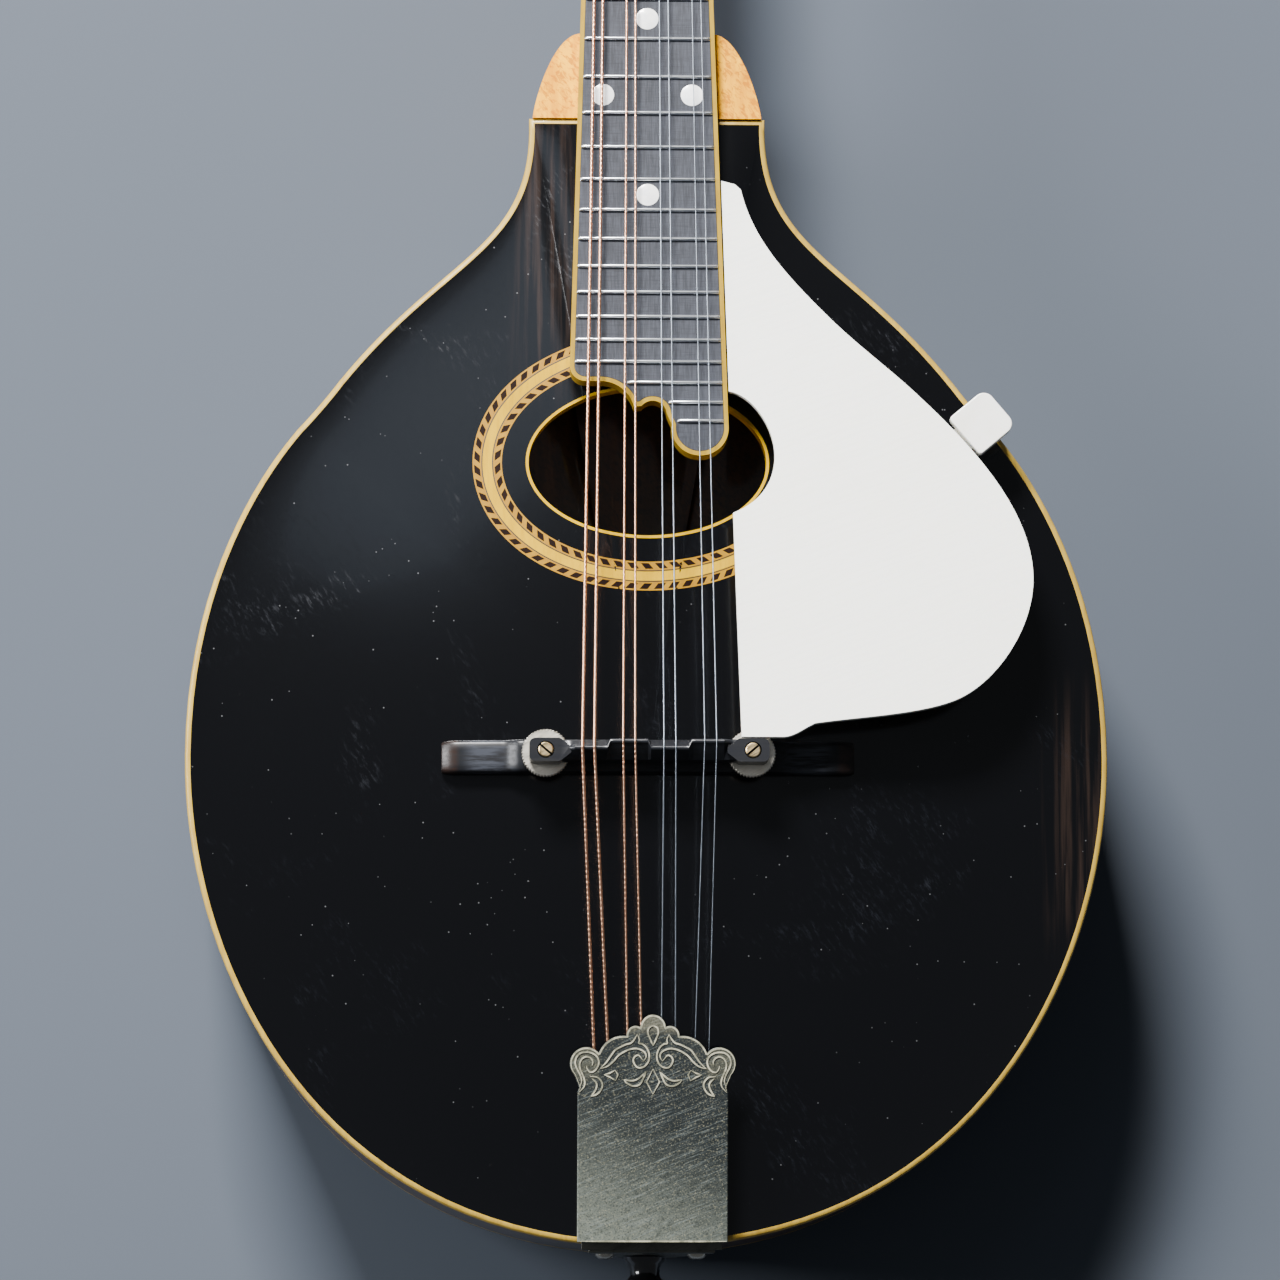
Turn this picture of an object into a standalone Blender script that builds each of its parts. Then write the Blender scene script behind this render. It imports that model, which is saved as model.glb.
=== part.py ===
"""A-style mandolin: carved top and back, oval soundhole, worm tuners, adjustable bridge.

Metres. +X is the treble side, +Y runs from the bridge to the headstock, +Z is out of the top.
Sizes are laid out about the bridge: Y = 0 at the saddle, Z = 0 at the rim's upper edge.
An empty moves that layout so that the origin is under the middle of the whole instrument.
"""
import math

import bmesh
import bpy
import numpy as np
from mathutils import Matrix, Vector

# Clearances
SEAT_GAP = 0.0003            # between two pieces that touch
RUNNING_GAP = 0.0003         # round a shaft or a post in its hole

# Strings and fingerboard
SCALE_LENGTH = 0.3524        # nut to the theoretical saddle
COMPENSATION = 0.0025        # extra length at the saddle
NECK_PITCH = math.radians(5.0)
BOARD_LEVEL = 0.01052        # board surface at the neck joint, above the rim's upper edge
BOARD_THICKNESS = 0.005
NUT_WIDTH = 0.0286
BOARD_FLARE = 0.0575         # extra width per length
BOARD_BINDING = 0.0010
FRET_COUNT = 24
FRET_CROWN = 0.0021
FRET_HEIGHT = 0.0010
FRET_BED = 0.0002            # crown pressed into the board
SHORT_FRETS = {22: -0.0057, 23: 0.0056, 24: 0.0080}   # bass end of the frets on the scrolled end
DOT_DIAMETER = 0.0063
DOT_DEPTH = 0.0012
DOT_RISE = 0.0001
DOT_PAIR = 0.0246            # spacing of the two dots at the octave
DOT_FRETS = ((5, 0.0), (7, 0.0), (10, 0.0), (12, -0.5), (12, 0.5), (15, 0.0))
NUT_LENGTH = 0.0048
NUT_HEIGHT = 0.0020          # above the board
NUT_NOTCH = 0.0011           # depth of a string's notch

STRING_DIAMETERS = (0.00086, 0.00061, 0.00036, 0.00028)   # bass course first
COURSES = ("g", "d", "a", "e")
NUT_COURSE_SPREAD = 0.0232   # between the outer courses at the nut
NUT_PAIR = 0.0019
SADDLE_COURSE_SPREAD = 0.0327
SADDLE_PAIR = 0.0032
HOOK_COURSE_SPREAD = 0.0248
HOOK_PAIR = 0.0040

# Body outline
HALF_WIDTH = 0.1255
TAIL_REACH = 0.1328          # bridge to tail
JOINT_REACH = 0.1778         # bridge to neck joint
JOINT_HALF_WIDTH = 0.0326
TAIL_FULLNESS = 0.7123       # reach of the flat stretch at the tail, of half width
ANCHOR_SHARE = (0.7171, 0.5411)    # the outline's upper anchor, of half width and joint reach
OUTLINE_STEPS = (6, 5, 6)
RIM_DEPTH = 0.044
RIM_THICKNESS = 0.0024
BINDING_WIDTH = 0.0015
EDGE_THICKNESS = 0.0045      # of both plates at their edge
TOP_ARCH = 0.0095
BACK_ARCH = 0.0160
PLATE_THICKNESS = 0.0050     # of both plates in the middle
ARCH_POWER = 1.4
LEDGE_SHARE = 0.93           # inside this share of the radius the plate is hollowed
TOP_RINGS = (0.22, 0.45, 0.66, 0.82, 0.93, 1.0)
INNER_RINGS = (0.36, 0.68, 0.93, 1.0)
BACK_RINGS = (0.12, 0.38, 0.62, 0.80, 0.92, 1.0)
LINING_HEIGHT = 0.0065
LINING_THICKNESS = 0.0040
HEAD_BLOCK_LENGTH = 0.030
TAIL_BLOCK_LENGTH = 0.016
TAIL_BLOCK_HALF_WIDTH = 0.026
BRACE_PLACE = 0.046
BRACE_WIDTH = 0.0070
BRACE_HALF_LENGTH = 0.088
BRACE_HEIGHT = 0.011

# Soundhole and rosette
HOLE_PLACE = 0.0803
HOLE_HALF_WIDTH = 0.0326
HOLE_HALF_LENGTH = 0.0208
HOLE_BINDING = 0.0008
ROSETTE_START = 0.0072       # from the edge of the hole
ROPE_WIDTH = 0.0022
BAND_WIDTH = 0.0029
ROSETTE_DEPTH = 0.0010
ROSETTE_STEPS = 26

# Neck
NECK_DEPTH_NUT = 0.0150      # below the fingerboard
NECK_DEPTH_BODY = 0.0175
HEEL_CURVE_START = 0.052     # from the neck joint to where the heel starts to deepen
HEEL_CAP_LENGTH = 0.0165
BOARD_OVERHANG = 0.0004      # board wider than the neck under it, on each side
SHOULDER_LENGTH = 0.0243
SHOULDER_INSET = 0.0010      # inside the body's half width at the joint
SHOULDER_POWER = 1.2
TENON_LENGTH = 0.014
TENON_WIDTH = 0.020
TENON_FLARE = 0.005
TENON_DEPTH = 0.036
RISER_LENGTH = 0.072
RISER_START = 0.0060         # from the neck joint
RISER_INSET = 0.0022

# Headstock
HEADSTOCK_PITCH = math.radians(12.0)
HEADSTOCK_LENGTH = 0.147
HEADSTOCK_THICKNESS = 0.0125
HEADSTOCK_DROP = 0.0040      # face below the board surface
HEADSTOCK_NECK_HALF = 0.0175
HEADSTOCK_WAIST_HALF = 0.0275
HEADSTOCK_TIP_HALF = 0.0355
OVERLAY_THICKNESS = 0.0020

# Tuners
POST_SPACING = 0.023
FIRST_POST = 0.037
POST_SIDE = 0.0178
POST_DIAMETER = 0.0056
POST_HEIGHT = 0.0125         # above the headstock face
POST_WAIST = 0.0044
POST_SIDES = 8
STRING_POST_LEVEL = 0.0062
BUSHING_DIAMETER = 0.0088
BUSHING_HEIGHT = 0.0018
PLATE_SHEET = 0.0011
PLATE_HALF_WIDTH = 0.0072
PLATE_OVERHANG = 0.0165      # past the outer posts
GEAR_TEETH = 12
GEAR_PITCH_RADIUS = 0.0056
GEAR_FACE = 0.0030
TOOTH_ADDENDUM = 0.0004
TOOTH_DEDENDUM = 0.0007
WORM_PITCH_RADIUS = 0.0026
WORM_TURNS = 3
WORM_SHAFT = 0.0030
EAR_REACH = 0.0064           # from the post to each bearing ear, along the shaft
EAR_THICKNESS = 0.0016
EAR_WIDTH = 0.0060
PLATE_SCREW_DIAMETER = 0.0038
BUTTON_START = 0.0395        # from the middle of the headstock
BUTTON_LENGTH = 0.0155
BUTTON_WIDTH = 0.0155
BUTTON_THICKNESS = 0.0085

# Bridge
FOOT_HALF_LENGTH = 0.0558
FOOT_WIDTH = 0.0089
FOOT_PLACE = -0.0016
FOOT_LEVEL = 0.0188          # upper face, above the rim
FOOT_WING_HEIGHT = 0.0040    # of the flat ends, above the top
FOOT_RAMP = (0.60, 0.70)     # the ramp between the two levels, of half length
FOOT_CORNER = 0.0012
POST_SPREAD = 0.0555
BRIDGE_POST_DIAMETER = 0.0040
BRIDGE_PLACE = -0.0013
WHEEL_DIAMETER = 0.0131
WHEEL_THICKNESS = 0.0021
WHEEL_GAP = 0.0011           # wheel above the foot at rest
KNURLS = 14
SADDLE_BOSS_LENGTH = 0.0100
SADDLE_BOSS_WIDTH = 0.0063
SADDLE_BOSS_HEIGHT = 0.0068
SADDLE_BAR_WIDTH = 0.0054
SADDLE_HEIGHT = 0.0077
CREST_STEP = 0.0009
THREAD_PITCH = 0.0008

# Tailpiece
TAIL_TILT = math.radians(7.0)
COVER_LEVEL = 0.0122         # top of the cover at the tail, above the rim
TAIL_OFFSET = 0.0012         # the tailpiece stands a little towards the treble side
COVER_HALF_WIDTH = 0.0201
COVER_START = 0.0025         # its tail edge, from the face of the tail plate
COVER_SIDE_END = 0.0424
COVER_SHEET = 0.0009
COVER_WALL = 0.0062
COVER_LOBES = (              # centre x, centre y, radius, first and last angle in degrees
    (0.0178, 0.0501, 0.0044, -42.0, 140.0),
    (0.0079, 0.0506, 0.0070, 18.0, 97.0),
    (0.0046, 0.0577, 0.0025, -4.0, 118.0),
    (0.0000, 0.0598, 0.0034, 6.0, 90.0),
)
COVER_RISE = 0.0060          # cover above the base
BASE_SHEET = 0.0012
BASE_LENGTH = 0.0360
TAIL_PLATE_HALF_WIDTH = 0.0150
TAIL_PLATE_TIP_HALF = 0.0080
TAIL_PLATE_DEPTH = 0.0360    # below the rim's upper edge
HOOK_PLACE = 0.0215          # from the tail edge of the cover
HOOK_HEIGHT = 0.0034
HOOK_WIDTH = 0.0018
PIN_LEVEL = -0.0200
PIN_DIAMETER = 0.0070
PIN_HEAD_DIAMETER = 0.0120
PIN_LENGTH = 0.0110          # from the tail plate to the end
TAIL_SCREWS = ((-0.0124, -0.0040), (0.0124, -0.0040), (0.0, -0.0315))
SCREW_HEAD_DIAMETER = 0.0052
SCREW_HEAD_HEIGHT = 0.0014

# Pickguard
GUARD_TILT = math.radians(5.5)
GUARD_LEVEL = 0.0268         # upper face at its end by the bridge
GUARD_START = 0.0026
GUARD_THICKNESS = 0.0018
GUARD_BOARD_SHARES = (0.8926, 0.5551, 0.3628)   # top, upper and lower end of the bite at the hole
GUARD_INNER = 0.0248         # its inner side at the bridge, from the middle
GUARD_LEAN = 0.0019          # how much nearer the middle that side is at the hole
GUARD_NECK_CORNER = (0.1912, 0.8870)
GUARD_CURVES = (             # outer edge: shares of half width and of joint reach, and steps
    (((0.2040, 0.8785), (0.2271, 0.8043), (0.2908, 0.7480), (0.3984, 0.6710)), 5),
    (((0.5976, 0.5422), (0.7649, 0.4274), (0.8290, 0.3400), (0.8290, 0.2640)), 6),
    (((0.8290, 0.2640), (0.8290, 0.1850), (0.7450, 0.0980), (0.6562, 0.0722)), 6),
    (((0.6562, 0.0722), (0.5800, 0.0500), (0.4500, 0.0460), (0.3554, 0.0359)), 4),
    (((0.3554, 0.0359), (0.3280, 0.0270), (0.3100, 0.0146), (0.2850, 0.0146)), 3),
)
CLAMP_ANGLE = math.radians(40.0)   # outward direction at the clamp
CLAMP_SHARE = 0.5202         # its distance from the bridge, of the reach to the neck joint
CLAMP_STEP = 0.0132          # tangential width of the ivoroid block
CLAMP_INSIDE = 0.0098
CLAMP_OVERHANG = 0.0032
BRACKET_SHEET = 0.0013
BRACKET_WIDTH = 0.0090
BRACKET_GAP = 0.0005
PAD_DIAMETER = 0.0060
PAD_INSIDE = 0.0038
PAD_THICKNESS = 0.0016
PAD_TRAVEL_ROOM = 0.0030
CLAMP_SCREW = 0.0030
CLAMP_KNOB = 0.0090
CLAMP_KNOB_HEIGHT = 0.0026

PARTS_NAME = "a_style_mandolin"


def clear_scene():
    for old in list(bpy.data.objects):
        bpy.data.objects.remove(old, do_unlink=True)


clear_scene()
PARTS = bpy.data.collections.new(PARTS_NAME)
CUTTERS = bpy.data.collections.new("cutters")
bpy.context.scene.collection.children.link(PARTS)
bpy.context.scene.collection.children.link(CUTTERS)


# Materials

MATERIALS = {
    "black_lacquer": ((0.012, 0.011, 0.012), 0.16, 0.0),
    "maple": ((0.62, 0.33, 0.12), 0.32, 0.0),
    "mahogany": ((0.26, 0.09, 0.035), 0.35, 0.0),
    "spruce": ((0.72, 0.52, 0.30), 0.6, 0.0),
    "ivoroid": ((0.80, 0.62, 0.28), 0.35, 0.0),
    "white_ivoroid": ((0.83, 0.81, 0.73), 0.25, 0.0),
    "rope": ((0.35, 0.17, 0.06), 0.4, 0.0),
    "ebony": ((0.018, 0.017, 0.018), 0.45, 0.0),
    "pearl": ((0.80, 0.80, 0.78), 0.2, 0.0),
    "nickel": ((0.52, 0.53, 0.50), 0.28, 1.0),
    "brass": ((0.78, 0.56, 0.25), 0.3, 1.0),
    "bronze_wire": ((0.75, 0.42, 0.26), 0.3, 1.0),
    "steel_wire": ((0.62, 0.64, 0.66), 0.25, 1.0),
    "bone": ((0.80, 0.74, 0.60), 0.4, 0.0),
    "felt": ((0.10, 0.09, 0.08), 0.9, 0.0),
}


def material_for(name, kind):
    """A material of the piece's own, from the named finish."""
    colour, roughness, metallic = MATERIALS[kind]
    material = bpy.data.materials.new(name + "_" + kind)
    material.use_nodes = True
    shader = material.node_tree.nodes["Principled BSDF"]
    shader.inputs["Base Color"].default_value = (*colour, 1.0)
    shader.inputs["Roughness"].default_value = roughness
    shader.inputs["Metallic"].default_value = metallic
    return material


# Empties that carry the pieces

def empty(name, parent, location, rotation=(0.0, 0.0, 0.0)):
    guide = bpy.data.objects.new(name, None)
    CUTTERS.objects.link(guide)
    guide.parent = parent
    guide.location = location
    guide.rotation_euler = rotation
    guide.empty_display_size = 0.01
    guide.hide_render = True
    return guide


def pitch_matrix(angle):
    """Turn about X that drops +Y by the angle."""
    return Matrix.Rotation(-angle, 4, "X")


NUT_PLACE = (COMPENSATION + SCALE_LENGTH) * math.cos(NECK_PITCH)
NUT_DROP = (NUT_PLACE - JOINT_REACH) * math.tan(NECK_PITCH) - BOARD_LEVEL
NECK_MATRIX = Matrix.Translation((0.0, NUT_PLACE, -NUT_DROP)) @ pitch_matrix(NECK_PITCH)
HEADSTOCK_MATRIX = (NECK_MATRIX @ Matrix.Translation((0.0, NUT_LENGTH, -HEADSTOCK_DROP))
                    @ pitch_matrix(HEADSTOCK_PITCH))
TAIL_FACE = -TAIL_REACH - SEAT_GAP - BASE_SHEET          # outer face of the tail plate
PIN_END = TAIL_FACE - SEAT_GAP - PIN_LENGTH
HEADSTOCK_TIP = HEADSTOCK_MATRIX @ Vector((0.0, HEADSTOCK_LENGTH, -HEADSTOCK_THICKNESS - SEAT_GAP))
HEADSTOCK_FRONT = HEADSTOCK_MATRIX @ Vector((0.0, HEADSTOCK_LENGTH, OVERLAY_THICKNESS))
BACK_CREST = -RIM_DEPTH - SEAT_GAP - EDGE_THICKNESS - BACK_ARCH
LOWEST = min(BACK_CREST, HEADSTOCK_TIP.z)
MIDDLE = 0.5 * (PIN_END + HEADSTOCK_FRONT.y)

ROOT = empty("instrument_frame", None, (0.0, -MIDDLE, -LOWEST))
NECK = empty("neck_frame", ROOT, NECK_MATRIX.to_translation(), NECK_MATRIX.to_euler())
HEADSTOCK = empty("headstock_frame", ROOT, HEADSTOCK_MATRIX.to_translation(),
                  HEADSTOCK_MATRIX.to_euler())
TAIL = empty("tailpiece_frame", ROOT, (TAIL_OFFSET, TAIL_FACE, COVER_LEVEL), (TAIL_TILT, 0.0, 0.0))
GUARD = empty("guard_frame", ROOT, (0.0, GUARD_START, GUARD_LEVEL), (-GUARD_TILT, 0.0, 0.0))


# Mesh tools

def finish_mesh(builder, name):
    """Close the builder into a mesh with its faces pointing out."""
    bmesh.ops.remove_doubles(builder, verts=builder.verts, dist=1e-7)
    bmesh.ops.recalc_face_normals(builder, faces=builder.faces)
    mesh = bpy.data.meshes.new(name)
    builder.to_mesh(mesh)
    builder.free()
    return mesh


def add_piece(name, mesh, kind, parent=None, location=(0.0, 0.0, 0.0), rotation=(0.0, 0.0, 0.0)):
    piece = bpy.data.objects.new(name, mesh)
    PARTS.objects.link(piece)
    piece.parent = parent or ROOT
    piece.location = location
    piece.rotation_euler = rotation
    if not mesh.materials:
        mesh.materials.append(None)
    piece.material_slots[0].link = "OBJECT"
    piece.material_slots[0].material = material_for(name, kind)
    mesh.shade_smooth()
    mesh.set_sharp_from_angle(angle=math.radians(35.0))
    return piece


def add_cutter(name, mesh, parent=None, location=(0.0, 0.0, 0.0), rotation=(0.0, 0.0, 0.0)):
    cutter = bpy.data.objects.new(name, mesh)
    CUTTERS.objects.link(cutter)
    cutter.parent = parent or ROOT
    cutter.location = location
    cutter.rotation_euler = rotation
    cutter.hide_render = True
    cutter.display_type = "WIRE"
    return cutter


def combine(piece, other, operation="DIFFERENCE"):
    modifier = piece.modifiers.new(operation.lower() + "_" + other.name, "BOOLEAN")
    modifier.operation = operation
    modifier.object = other
    modifier.solver = "EXACT"
    return piece


def baked(piece):
    """The evaluated mesh of an object, which is then removed."""
    bpy.context.view_layer.update()
    graph = bpy.context.evaluated_depsgraph_get()
    mesh = bpy.data.meshes.new_from_object(piece.evaluated_get(graph))
    bpy.data.objects.remove(piece, do_unlink=True)
    return mesh


def loft(name, sections, close_ends=True, closed_path=False):
    """Skin between sections, which are closed loops of equally many points."""
    builder = bmesh.new()
    rings = [[builder.verts.new(point) for point in section] for section in sections]
    count = len(rings[0])
    pairs = list(zip(rings, rings[1:]))
    if closed_path:
        pairs.append((rings[-1], rings[0]))
    for lower, upper in pairs:
        for index in range(count):
            after = (index + 1) % count
            builder.faces.new((lower[index], lower[after], upper[after], upper[index]))
    if close_ends and not closed_path:
        builder.faces.new(rings[0])
        builder.faces.new(rings[-1])
    return finish_mesh(builder, name)


def prism(name, outline, low, high):
    """A flat outline in X and Y, between two heights."""
    return loft(name, [[(x, y, low) for x, y in outline], [(x, y, high) for x, y in outline]])


def box_mesh(name, low, high):
    builder = bmesh.new()
    bmesh.ops.create_cube(builder, size=1.0)
    size = Vector(high) - Vector(low)
    middle = (Vector(high) + Vector(low)) / 2
    bmesh.ops.scale(builder, vec=size, verts=builder.verts)
    bmesh.ops.translate(builder, vec=middle, verts=builder.verts)
    return finish_mesh(builder, name)


def rod_mesh(name, spans, axis="Z", sides=12):
    """Stacked cylinders or cones: each span is (low, high, radius low, radius high)."""
    turn = {"Z": Matrix.Identity(4), "X": Matrix.Rotation(math.pi / 2, 4, "Y"),
            "Y": Matrix.Rotation(-math.pi / 2, 4, "X")}[axis]
    stations = []
    for low, high, radius_low, radius_high in spans:
        stations += [(low, radius_low), (high, radius_high)]
    sections = []
    for level, radius in stations:
        section = []
        for index in range(sides):
            angle = 2 * math.pi * (index + 0.5) / sides
            section.append(turn @ Vector((radius * math.cos(angle), radius * math.sin(angle), level)))
        if not sections or (sections[-1][0] - section[0]).length > 1e-7:
            sections.append(section)
    return loft(name, sections)


def merged(name, meshes):
    """Several meshes as one, each with its own offset."""
    builder = bmesh.new()
    for mesh, offset in meshes:
        copy = bmesh.new()
        copy.from_mesh(mesh)
        bmesh.ops.translate(copy, vec=offset, verts=copy.verts)
        temporary = bpy.data.meshes.new("temporary")
        copy.to_mesh(temporary)
        copy.free()
        builder.from_mesh(temporary)
        bpy.data.meshes.remove(temporary)
    result = bpy.data.meshes.new(name)
    builder.to_mesh(result)
    builder.free()
    return result


def arc(centre_x, centre_y, radius, first, last, steps):
    """Points on an arc, angles in degrees."""
    points = []
    for angle in np.linspace(math.radians(first), math.radians(last), steps + 1):
        points.append((centre_x + radius * math.cos(angle), centre_y + radius * math.sin(angle)))
    return points


def bezier(start, handle_out, handle_in, end, steps):
    """Points on a cubic curve, without its last one."""
    points = []
    for share in np.arange(steps) / steps:
        rest = 1 - share
        points.append(tuple(rest ** 3 * np.array(start) + 3 * rest ** 2 * share * np.array(handle_out)
                            + 3 * rest * share ** 2 * np.array(handle_in) + share ** 3 * np.array(end)))
    return points


# Body outline and arching

def half_outline(inset=0.0, joint_inset=0.0):
    """Treble half of the body's outline, from the tail to the neck joint, moved inwards."""
    joint = (JOINT_HALF_WIDTH, JOINT_REACH)
    anchor = (ANCHOR_SHARE[0] * HALF_WIDTH, ANCHOR_SHARE[1] * JOINT_REACH)
    points = bezier((0.0, -TAIL_REACH), (TAIL_FULLNESS * HALF_WIDTH, -TAIL_REACH),
                    (HALF_WIDTH, -0.4315 * TAIL_REACH), (HALF_WIDTH, 0.0), OUTLINE_STEPS[0])
    points += bezier((HALF_WIDTH, 0.0), (HALF_WIDTH, 0.3639 * JOINT_REACH), anchor, anchor,
                     OUTLINE_STEPS[1])
    points += bezier(anchor, (anchor[0] - 0.2518 * HALF_WIDTH, anchor[1] + 0.2497 * JOINT_REACH),
                     (joint[0] * 0.957, joint[1] * 0.779), joint, OUTLINE_STEPS[2])
    points.append(joint)
    path = np.array(points)
    tangents = np.gradient(path, axis=0)
    tangents[0] = (1.0, 0.0)
    tangents /= np.linalg.norm(tangents, axis=1)[:, None]
    inward = np.stack((-tangents[:, 1], tangents[:, 0]), axis=1)
    moved = path + inset * inward
    moved[-1][1] = JOINT_REACH - joint_inset
    return [tuple(point) for point in moved]


def mirrored_path(path):
    return [(-x, y) for x, y in path]


def whole_path(inset):
    """Both halves of the outline in one open path, from joint to joint round the tail."""
    half = half_outline(inset)
    return mirrored_path(reversed(half[1:])) + half


def closed_outline(inset, joint_inset):
    right = half_outline(inset, joint_inset)
    width, reach = right[-1]
    across = [(width * share, reach) for share in (0.5, 0.0, -0.5)]
    left = [(-x, y) for x, y in reversed(right[1:])]
    return right + across + left


def radial_share(outline, x, y):
    """Distance of a point from the bridge, as a share of the outline's along the same ray."""
    if math.hypot(x, y) < 1e-9:
        return 0.0
    for (ax, ay), (bx, by) in zip(outline, outline[1:] + outline[:1]):
        area = ax * by - ay * bx
        first = (x * by - y * bx) / area
        second = (ax * y - ay * x) / area
        if first >= -1e-9 and second >= -1e-9:
            return first + second
    return 1.0


def arch_shape(share):
    return max(0.0, 1.0 - share * share) ** ARCH_POWER


def outer_height(share, arch):
    return EDGE_THICKNESS + arch * arch_shape(share)


def inner_height(share, arch):
    hollow = arch + EDGE_THICKNESS - PLATE_THICKNESS
    return SEAT_GAP + hollow * arch_shape(share / LEDGE_SHARE)


PLATE_INSET = BINDING_WIDTH + SEAT_GAP
TOP_OUTLINE = closed_outline(PLATE_INSET, PLATE_INSET)
BACK_OUTLINE = closed_outline(PLATE_INSET, 0.0)


def faceted(share, rings, height):
    """Height of the faceted surface, which is straight between its rings."""
    levels = [height(ring) for ring in rings]
    return float(np.interp(share, (0.0,) + tuple(rings), [height(0.0)] + levels))


def top_surface(x, y):
    share = radial_share(TOP_OUTLINE, x, y)
    return faceted(share, TOP_RINGS, lambda ring: outer_height(ring, TOP_ARCH))


def top_underside(x, y):
    share = radial_share(TOP_OUTLINE, x, y)
    return faceted(share, INNER_RINGS, lambda ring: inner_height(ring, TOP_ARCH))


def back_height(ring):
    """Arch of the back, flat out to its first ring, where the instrument rests."""
    return BACK_ARCH if ring <= BACK_RINGS[0] else BACK_ARCH * arch_shape(ring)


def back_surface(x, y):
    share = radial_share(BACK_OUTLINE, x, y)
    rise = faceted(share, BACK_RINGS, back_height)
    return -RIM_DEPTH - SEAT_GAP - EDGE_THICKNESS - rise


def plate_mesh(name, outline, outer_rings, inner_rings, outer, inner, base, sign):
    """A carved plate: rings of the outline, shrunk about the bridge, on both faces."""
    builder = bmesh.new()

    def surface(rings, height):
        loops = []
        for ring in rings:
            loops.append([builder.verts.new((x * ring, y * ring, base + sign * height(ring)))
                          for x, y in outline])
        centre = builder.verts.new((0.0, 0.0, base + sign * height(0.0)))
        count = len(outline)
        for index in range(count):
            after = (index + 1) % count
            builder.faces.new((centre, loops[0][index], loops[0][after]))
            for lower, upper in zip(loops, loops[1:]):
                builder.faces.new((lower[index], upper[index], upper[after], lower[after]))
        return loops[-1]

    outer_edge = surface(outer_rings, outer)
    inner_edge = surface(inner_rings, inner)
    for index in range(len(outer_edge)):
        after = (index + 1) % len(outer_edge)
        builder.faces.new((outer_edge[index], inner_edge[index], inner_edge[after], outer_edge[after]))
    return finish_mesh(builder, name)


def outline_ring(name, outer, inner, low, high):
    """A closed band between two outlines, such as a binding."""
    sections = []
    for (ox, oy), (ix, iy) in zip(outer, inner):
        sections.append([(ox, oy, low), (ox, oy, high), (ix, iy, high), (ix, iy, low)])
    return loft(name, sections, closed_path=True)


def side_strip(name, path, next_path, low, high):
    """An upright strip between two open paths."""
    sections = []
    for (ox, oy), (ix, iy) in zip(path, next_path):
        sections.append([(ox, oy, low), (ox, oy, high), (ix, iy, high), (ix, iy, low)])
    return loft(name, sections)


def hole_point(angle, offset):
    """A point at a distance outside the soundhole's ellipse."""
    normal = Vector((math.cos(angle) / HOLE_HALF_WIDTH, math.sin(angle) / HOLE_HALF_LENGTH)).normalized()
    x = HOLE_HALF_WIDTH * math.cos(angle) + offset * normal.x
    y = HOLE_PLACE + HOLE_HALF_LENGTH * math.sin(angle) + offset * normal.y
    return x, y


def hole_ring(name, start, end, low, high, steps=ROSETTE_STEPS):
    """A band round the soundhole whose faces follow height functions of x and y."""
    sections = []
    for index in range(steps):
        angle = 2 * math.pi * index / steps
        inner = hole_point(angle, start)
        outer = hole_point(angle, end)
        sections.append([(*inner, low(*inner)), (*outer, low(*outer)),
                         (*outer, high(*outer)), (*inner, high(*inner))])
    return loft(name, sections, closed_path=True)


def build_top():
    mesh = plate_mesh("top_plate", TOP_OUTLINE, TOP_RINGS, INNER_RINGS,
                      lambda ring: outer_height(ring, TOP_ARCH),
                      lambda ring: inner_height(ring, TOP_ARCH), 0.0, 1.0)
    top = add_piece("top_plate", mesh, "black_lacquer")
    hole_edge = HOLE_BINDING + SEAT_GAP
    hole = prism("hole_cut", [hole_point(2 * math.pi * i / ROSETTE_STEPS, hole_edge)
                              for i in range(ROSETTE_STEPS)], -0.01, 0.03)
    combine(top, add_cutter("hole_cut", hole))
    width = 2 * ROPE_WIDTH + BAND_WIDTH + 2 * SEAT_GAP
    channel = hole_ring("rosette_channel", ROSETTE_START - SEAT_GAP, ROSETTE_START + width + SEAT_GAP,
                        lambda x, y: top_surface(x, y) - ROSETTE_DEPTH - SEAT_GAP,
                        lambda x, y: top_surface(x, y) + 0.003)
    combine(top, add_cutter("rosette_channel", channel))
    add_piece("soundhole_binding", hole_ring("soundhole_binding", 0.0, HOLE_BINDING,
                                             top_underside, top_surface), "ivoroid")

    def inlay(name, start, width):
        return hole_ring(name, start, start + width,
                         lambda x, y: top_surface(x, y) - ROSETTE_DEPTH, top_surface)

    band_start = ROSETTE_START + ROPE_WIDTH + SEAT_GAP
    outer_start = band_start + BAND_WIDTH + SEAT_GAP
    add_piece("rosette_rope_inner", inlay("rosette_rope_inner", ROSETTE_START, ROPE_WIDTH), "rope")
    add_piece("rosette_rope_outer", inlay("rosette_rope_outer", outer_start, ROPE_WIDTH), "rope")
    add_piece("rosette_band", inlay("rosette_band", band_start, BAND_WIDTH), "ivoroid")
    binding = outline_ring("top_binding", closed_outline(0.0, 0.0),
                           closed_outline(BINDING_WIDTH, BINDING_WIDTH), SEAT_GAP, EDGE_THICKNESS)
    add_piece("top_binding", binding, "ivoroid")


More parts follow.
